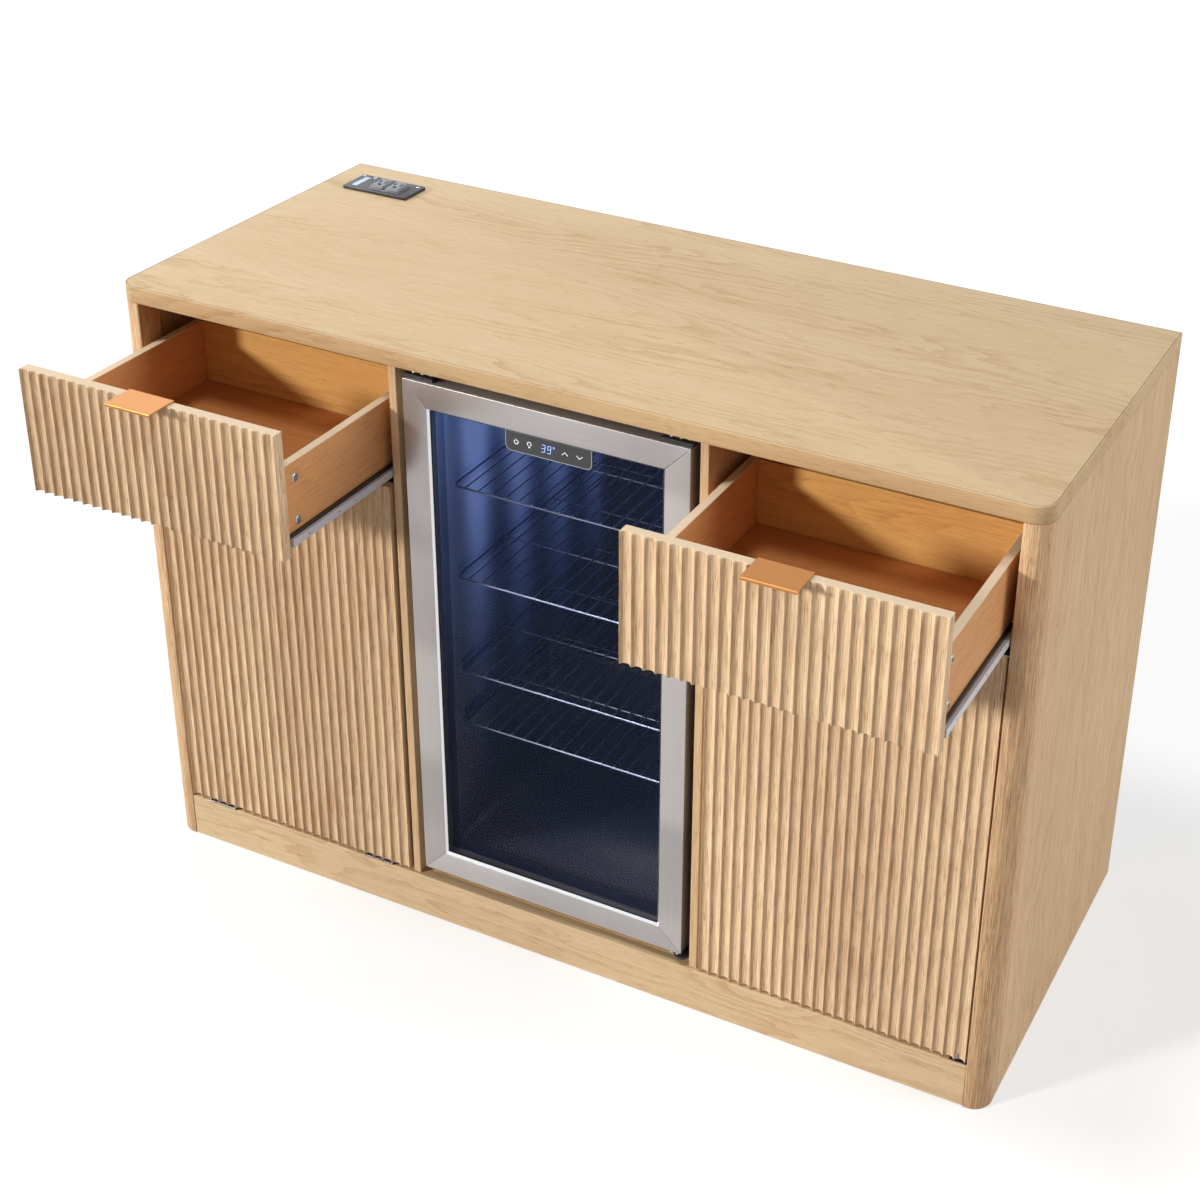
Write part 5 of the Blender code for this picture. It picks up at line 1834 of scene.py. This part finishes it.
    def foot(self) -> None:
        """Turn the left front foot with its stem."""
        low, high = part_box("left_front_foot")
        middle = (low + high) / 2
        radius, tall = (high.x - low.x) / 2, high.z - low.z
        profile = [
            (0.0, 0.0), (radius - 0.001, 0.0), (radius, 0.001), (radius, 0.005),
            (radius - 0.002, 0.007), (0.006, 0.008), (0.006, tall), (0.0, tall),
        ]
        foot = Shape().turned(profile, (middle.x, middle.y, low.z), (0, 0, 1), 40)
        foot.fit("levelling_foot", BLACK, Body.CARCASS, "black_plastic", "left_front_foot")


@dataclass
class FridgeDoor(Assembly):
    """Mitred steel frame, glass, ribbed seal and the touch panel with its symbols."""

    stile: float = 0.041
    skin_depth: float = 0.0355
    mitre_gap: float = 0.00015
    lip: float = 0.0032
    panel_corner: float = 0.009
    stroke: float = 0.0008
    fine_stroke: float = 0.0007

    def build(self) -> None:
        """Make the door's pieces."""
        low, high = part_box("fridge_door_frame")
        self.frame(low, high)
        self.inner_lip(low, high)
        self.spacer(low, high)
        dress("fridge_door_glass", GLASS)
        # The seal glows with painted lamp light.
        soften("fridge_door_gasket", RUBBER, Body.FRIDGE_DOOR, "door_seal", 0.002, 3)
        self.panel()

    def corners(self, low: Vector, high: Vector, inset: float) -> list[Flat]:
        """The corners of the door's face in X and Z, at an inset from its edges.

        Args:
            low: The lowest corner of the frame.
            high: Its highest corner.
            inset: The inset.

        Returns:
            The four corners, from the lower left one round.
        """
        left, right, foot, head = (low.x + inset, high.x - inset, low.z + inset,
                                   high.z - inset)
        return [(left, foot), (right, foot), (right, head), (left, head)]

    def frame(self, low: Vector, high: Vector) -> None:
        """Make the two stiles and the two rails.

        Args:
            low: The frame's lowest corner.
            high: The frame's highest corner.
        """
        outer = self.corners(low, high, 0.0)
        inner = self.corners(low, high, self.stile - self.lip)
        middle = (low + high) / 2
        for name, start, end, finish in (
            ("left_stile", 0, 3, STEEL_Z), ("right_stile", 1, 2, STEEL_Z),
            ("top_rail", 3, 2, STEEL_X), ("bottom_rail", 0, 1, STEEL_X),
        ):
            outline = []
            for u, v in (outer[start], inner[start], inner[end], outer[end]):
                if finish is STEEL_Z:
                    v -= math.copysign(self.mitre_gap, v - middle.z)
                else:
                    u -= math.copysign(self.mitre_gap, u - middle.x)
                outline.append((u, v))
            member = Shape().prism(outline, low.y, low.y + self.skin_depth, Axis.Y, 0.0009, 3)
            nodes = ("fridge_door_frame",) if name == "left_stile" else ()
            member.fit("door_" + name, finish, Body.FRIDGE_DOOR, "door_frame", *nodes)

    def inner_lip(self, low: Vector, high: Vector) -> None:
        """Make the sloping lip between the frame and the glass; its lighter steel partly
        paints its highlight.

        Args:
            low: The frame's lowest corner.
            high: The frame's highest corner.
        """
        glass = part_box("fridge_door_glass")[0].y - 0.0001
        outer, inner = self.stile - self.lip + 0.0001, self.stile
        rings = [
            [(u, y, v) for u, v in self.corners(low, high, inset)]
            for inset, y in ((outer, low.y + 0.0003), (inner, low.y + self.lip),
                             (inner, glass), (outer, glass))
        ]
        Shape().hoop(rings).fit("door_inner_lip", LIP_HIGHLIGHT_STEEL, Body.FRIDGE_DOOR, "door_frame")

    def spacer(self, low: Vector, high: Vector) -> None:
        """Make the dark spacer behind the glass, which glows with painted lamp light.

        Args:
            low: The frame's lowest corner.
            high: The frame's highest corner.
        """
        front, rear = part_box("fridge_door_glass")[1].y + 0.0001, high.y - 0.0006
        (left, foot), _, (right, head), _ = self.corners(low, high, self.stile - 0.0002)
        wide = 0.0012
        shape = Shape()
        for near, bottom, far, top in (
            (left, foot, left + wide, head), (right - wide, foot, right, head),
            (left, foot, right, foot + wide), (left, head - wide, right, head),
        ):
            shape.box((near, front, bottom), (far, rear, top), 0.0003, 1)
        shape.fit("door_spacer", SPACER, Body.FRIDGE_DOOR, "door_frame")

    def panel(self) -> None:
        """Make the touch panel, its thin outline, symbols and digits."""
        low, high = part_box("control_panel")
        corner, inset = self.panel_corner, 0.0012
        outline = [(high.x, high.z), (low.x, high.z)]
        outline += near_corners(low.xz, high.xz, corner, 0.0, 8)
        plate = Shape().prism(outline, low.y, high.y, Axis.Y, 0.0002, 1)
        plate.fit("touch_panel", PANEL_BLACK, Body.FRIDGE_DOOR, "black_plastic",
                  "control_panel")
        trim = [(low.x + inset, high.z - 0.001),
                *near_corners(low.xz, high.xz, corner, inset, 8),
                (high.x - inset, high.z - 0.001)]
        line = Shape().ribbon(trim, self.stroke, low.y)
        line.fit("panel_outline", ZINC, Body.FRIDGE_DOOR, "black_plastic")
        middle, wide = (low.z + high.z) / 2 + 0.0005, high.x - low.x
        white = Shape()
        self.power_symbol(white, (low.x + wide * 0.131, middle), low.y)
        self.lamp_symbol(white, (low.x + wide * 0.281, middle), low.y)
        for share, tip in ((0.689, 0.0022), (0.854, -0.0022)):
            x = low.x + wide * share
            path = [(x - 0.0046, middle - tip), (x, middle + tip), (x + 0.0046, middle - tip)]
            white.ribbon(path, self.fine_stroke, low.y)
        white.fit("panel_symbols", WHITE_GLOW, Body.FRIDGE_DOOR, "black_plastic")
        digits = Shape()
        for share, figure in ((0.443, "3"), (0.510, "9")):
            self.digit(digits, figure, (low.x + wide * share, middle), low.y)
        degree = arc((low.x + wide * 0.563, middle + 0.0046), 0.0012, 0, 330, 11)
        digits.ribbon(degree, 0.0006, low.y, True)
        digits.fit("panel_digits", BLUE_GLOW, Body.FRIDGE_DOOR, "black_plastic")

    def power_symbol(self, shape: Shape, centre: Flat, y: float) -> None:
        """Add a broken ring with an upright stroke.

        Args:
            shape: The shape that it joins.
            centre: Its middle in X and Z.
            y: The surface that it lies on.
        """
        shape.ribbon(arc(centre, 0.0031, 125, 415, 16), self.stroke, y)
        x, z = centre
        shape.ribbon([(x, z + 0.0010), (x, z + 0.0046)], self.fine_stroke, y)

    def lamp_symbol(self, shape: Shape, centre: Flat, y: float) -> None:
        """Add a bulb: a ring open below and two strokes under it.

        Args:
            shape: The shape that it joins.
            centre: Its middle in X and Z.
            y: The surface that it lies on.
        """
        x, z = centre
        bulb = [(x + 0.0013, z - 0.0014), *arc((x, z + 0.0014), 0.0028, -55, 235, 16),
                (x - 0.0013, z - 0.0014)]
        shape.ribbon(bulb, self.stroke, y)
        for drop in (0.0028, 0.0042):
            shape.ribbon([(x - 0.0014, z - drop), (x + 0.0014, z - drop)], self.fine_stroke, y)

    def digit(self, shape: Shape, figure: str, centre: Flat, y: float) -> None:
        """Add a slanted seven-bar digit.

        Args:
            shape: The shape that it joins.
            figure: The digit.
            centre: Its middle in X and Z.
            y: The surface that it lies on.
        """
        w, h, gap, slant = 0.0024, 0.0054, 0.0005, 0.12
        bars = {
            "top": [(-w, h), (w, h)],
            "middle": [(-w, 0.0), (w, 0.0)],
            "bottom": [(-w, -h), (w, -h)],
            "upper_left": [(-w, gap), (-w, h - gap)],
            "upper_right": [(w, gap), (w, h - gap)],
            "lower_left": [(-w, -h + gap), (-w, -gap)],
            "lower_right": [(w, -h + gap), (w, -gap)],
        }
        off = {"3": ("upper_left", "lower_left"), "9": ("lower_left",)}[figure]
        for name, path in bars.items():
            if name not in off:
                leant = [(centre[0] + u + v * slant, centre[1] + v) for u, v in path]
                shape.ribbon(leant, self.stroke, y)


@dataclass
class Studio:
    """Pale floor, soft lamps and the camera."""

    place: Point = (1.2603, -2.3925, 2.1282)
    yaw: float = 0.4156
    pitch: float = 0.4713
    roll: float = 0.0412
    lens: float = 61.75
    shift: Flat = (-0.145, -0.130)
    reach: float = 40.0

    def build(self) -> None:
        """Set the scene up."""
        self.camera()
        self.floor()
        self.lamps()
        self.world()
        bpy.context.scene.view_settings.view_transform = "Standard"

    def camera(self) -> None:
        """Stand the camera where the photograph was taken from."""
        data = bpy.data.cameras.new("photo_camera")
        data.sensor_width = 36.0
        data.lens = self.lens
        data.shift_x, data.shift_y = self.shift
        data.clip_end = 60
        turn = (
            Matrix.Rotation(self.yaw, 4, "Z")
            @ Matrix.Rotation(math.pi / 2 - self.pitch, 4, "X")
            @ Matrix.Rotation(self.roll, 4, "Z")
        )
        camera = stand("photo_camera", data)
        camera.matrix_world = Matrix.Translation(self.place) @ turn
        bpy.context.scene.camera = camera

    def floor(self) -> None:
        """Lay a pale floor that takes a shadow and shows near white."""
        mesh = bpy.data.meshes.new("floor")
        corners = [(self.reach * x, self.reach * y, 0)
                   for x, y in ((-1, -1), (1, -1), (1, 1), (-1, 1))]
        mesh.from_pydata(corners, [], [(0, 1, 2, 3)])
        floor = stand("floor", mesh)
        floor.location.z = -0.0005
        graph = ShaderGraph("floor_paint")
        glow = graph.mix(graph.seen(), (0.0, 0.0, 0.0), (0.60, 0.60, 0.60))
        graph.set(Base_Color=(0.47, 0.47, 0.47), Roughness=0.9, Specular_IOR_Level=0.0,
                  Emission_Color=glow, Emission_Strength=1.0)
        mesh.materials.append(graph.material)

    def lamps(self) -> None:
        """Hang a low key at the left, a high lamp, a fill at the right and a soft box."""
        for name, aim, strength, spread, colour in (
            ("key", (-0.86, -1.0, 0.37), 2.55, 7, (1.0, 0.985, 0.965)),
            ("top_light", (-0.35, -0.30, 1.0), 1.1, 12, (1.0, 1.0, 1.0)),
            ("fill", (0.90, 0.25, 0.42), 1.45, 30, (0.98, 0.98, 1.0)),
        ):
            data = bpy.data.lights.new(name, "SUN")
            data.energy = strength
            data.angle = math.radians(spread)
            data.color = colour
            self.hang(data, Vector(aim).normalized() * 4, Vector(aim))
        data = bpy.data.lights.new("soft_box", "AREA")
        data.energy = 15.0
        data.size = 2.6
        place = Vector((-1.9, 0.6, 2.3))
        self.hang(data, place, place - Vector((-0.3, -0.1, 0.9)))

    def world(self) -> None:
        """Make the surroundings white to the eye and weak as light."""
        world = bpy.data.worlds.new("studio")
        world.use_nodes = True
        graph = Graph(world.node_tree)
        background = world.node_tree.nodes["Background"]
        background.inputs["Color"].default_value = (1.0, 1.0, 1.0, 1)
        graph.feed(background.inputs["Strength"], graph.seen() * 0.81 + 0.19)
        bpy.context.scene.world = world

    def hang(self, data: bpy.types.Light, place: Vector, back: Vector) -> None:
        """Hang a lamp at a place, with its back towards a direction.

        Args:
            data: The lamp.
            place: Where it hangs.
            back: The direction that its back faces.
        """
        lamp = stand(data.name, data)
        lamp.location = place
        lamp.rotation_euler = back.to_track_quat("Z", "Y").to_euler()


def main() -> None:
    """Build every piece in order and set up the studio."""
    logging.basicConfig(level=logging.INFO, format="%(name)s: %(message)s")
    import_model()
    recipes = Recipes(FlutedBoard(), CrossScrews(), WireGrid(), RibRow())
    drawers = [Drawer(recipes, side) for side in Side]
    for group in (Worktop(recipes), PowerModule(recipes), Carcass(recipes), *drawers,
                  Flap(recipes), RightDoor(recipes), FridgeBody(recipes),
                  FridgeDoor(recipes)):
        group.build()
    Studio().build()


if __name__ == "__main__":
    main()
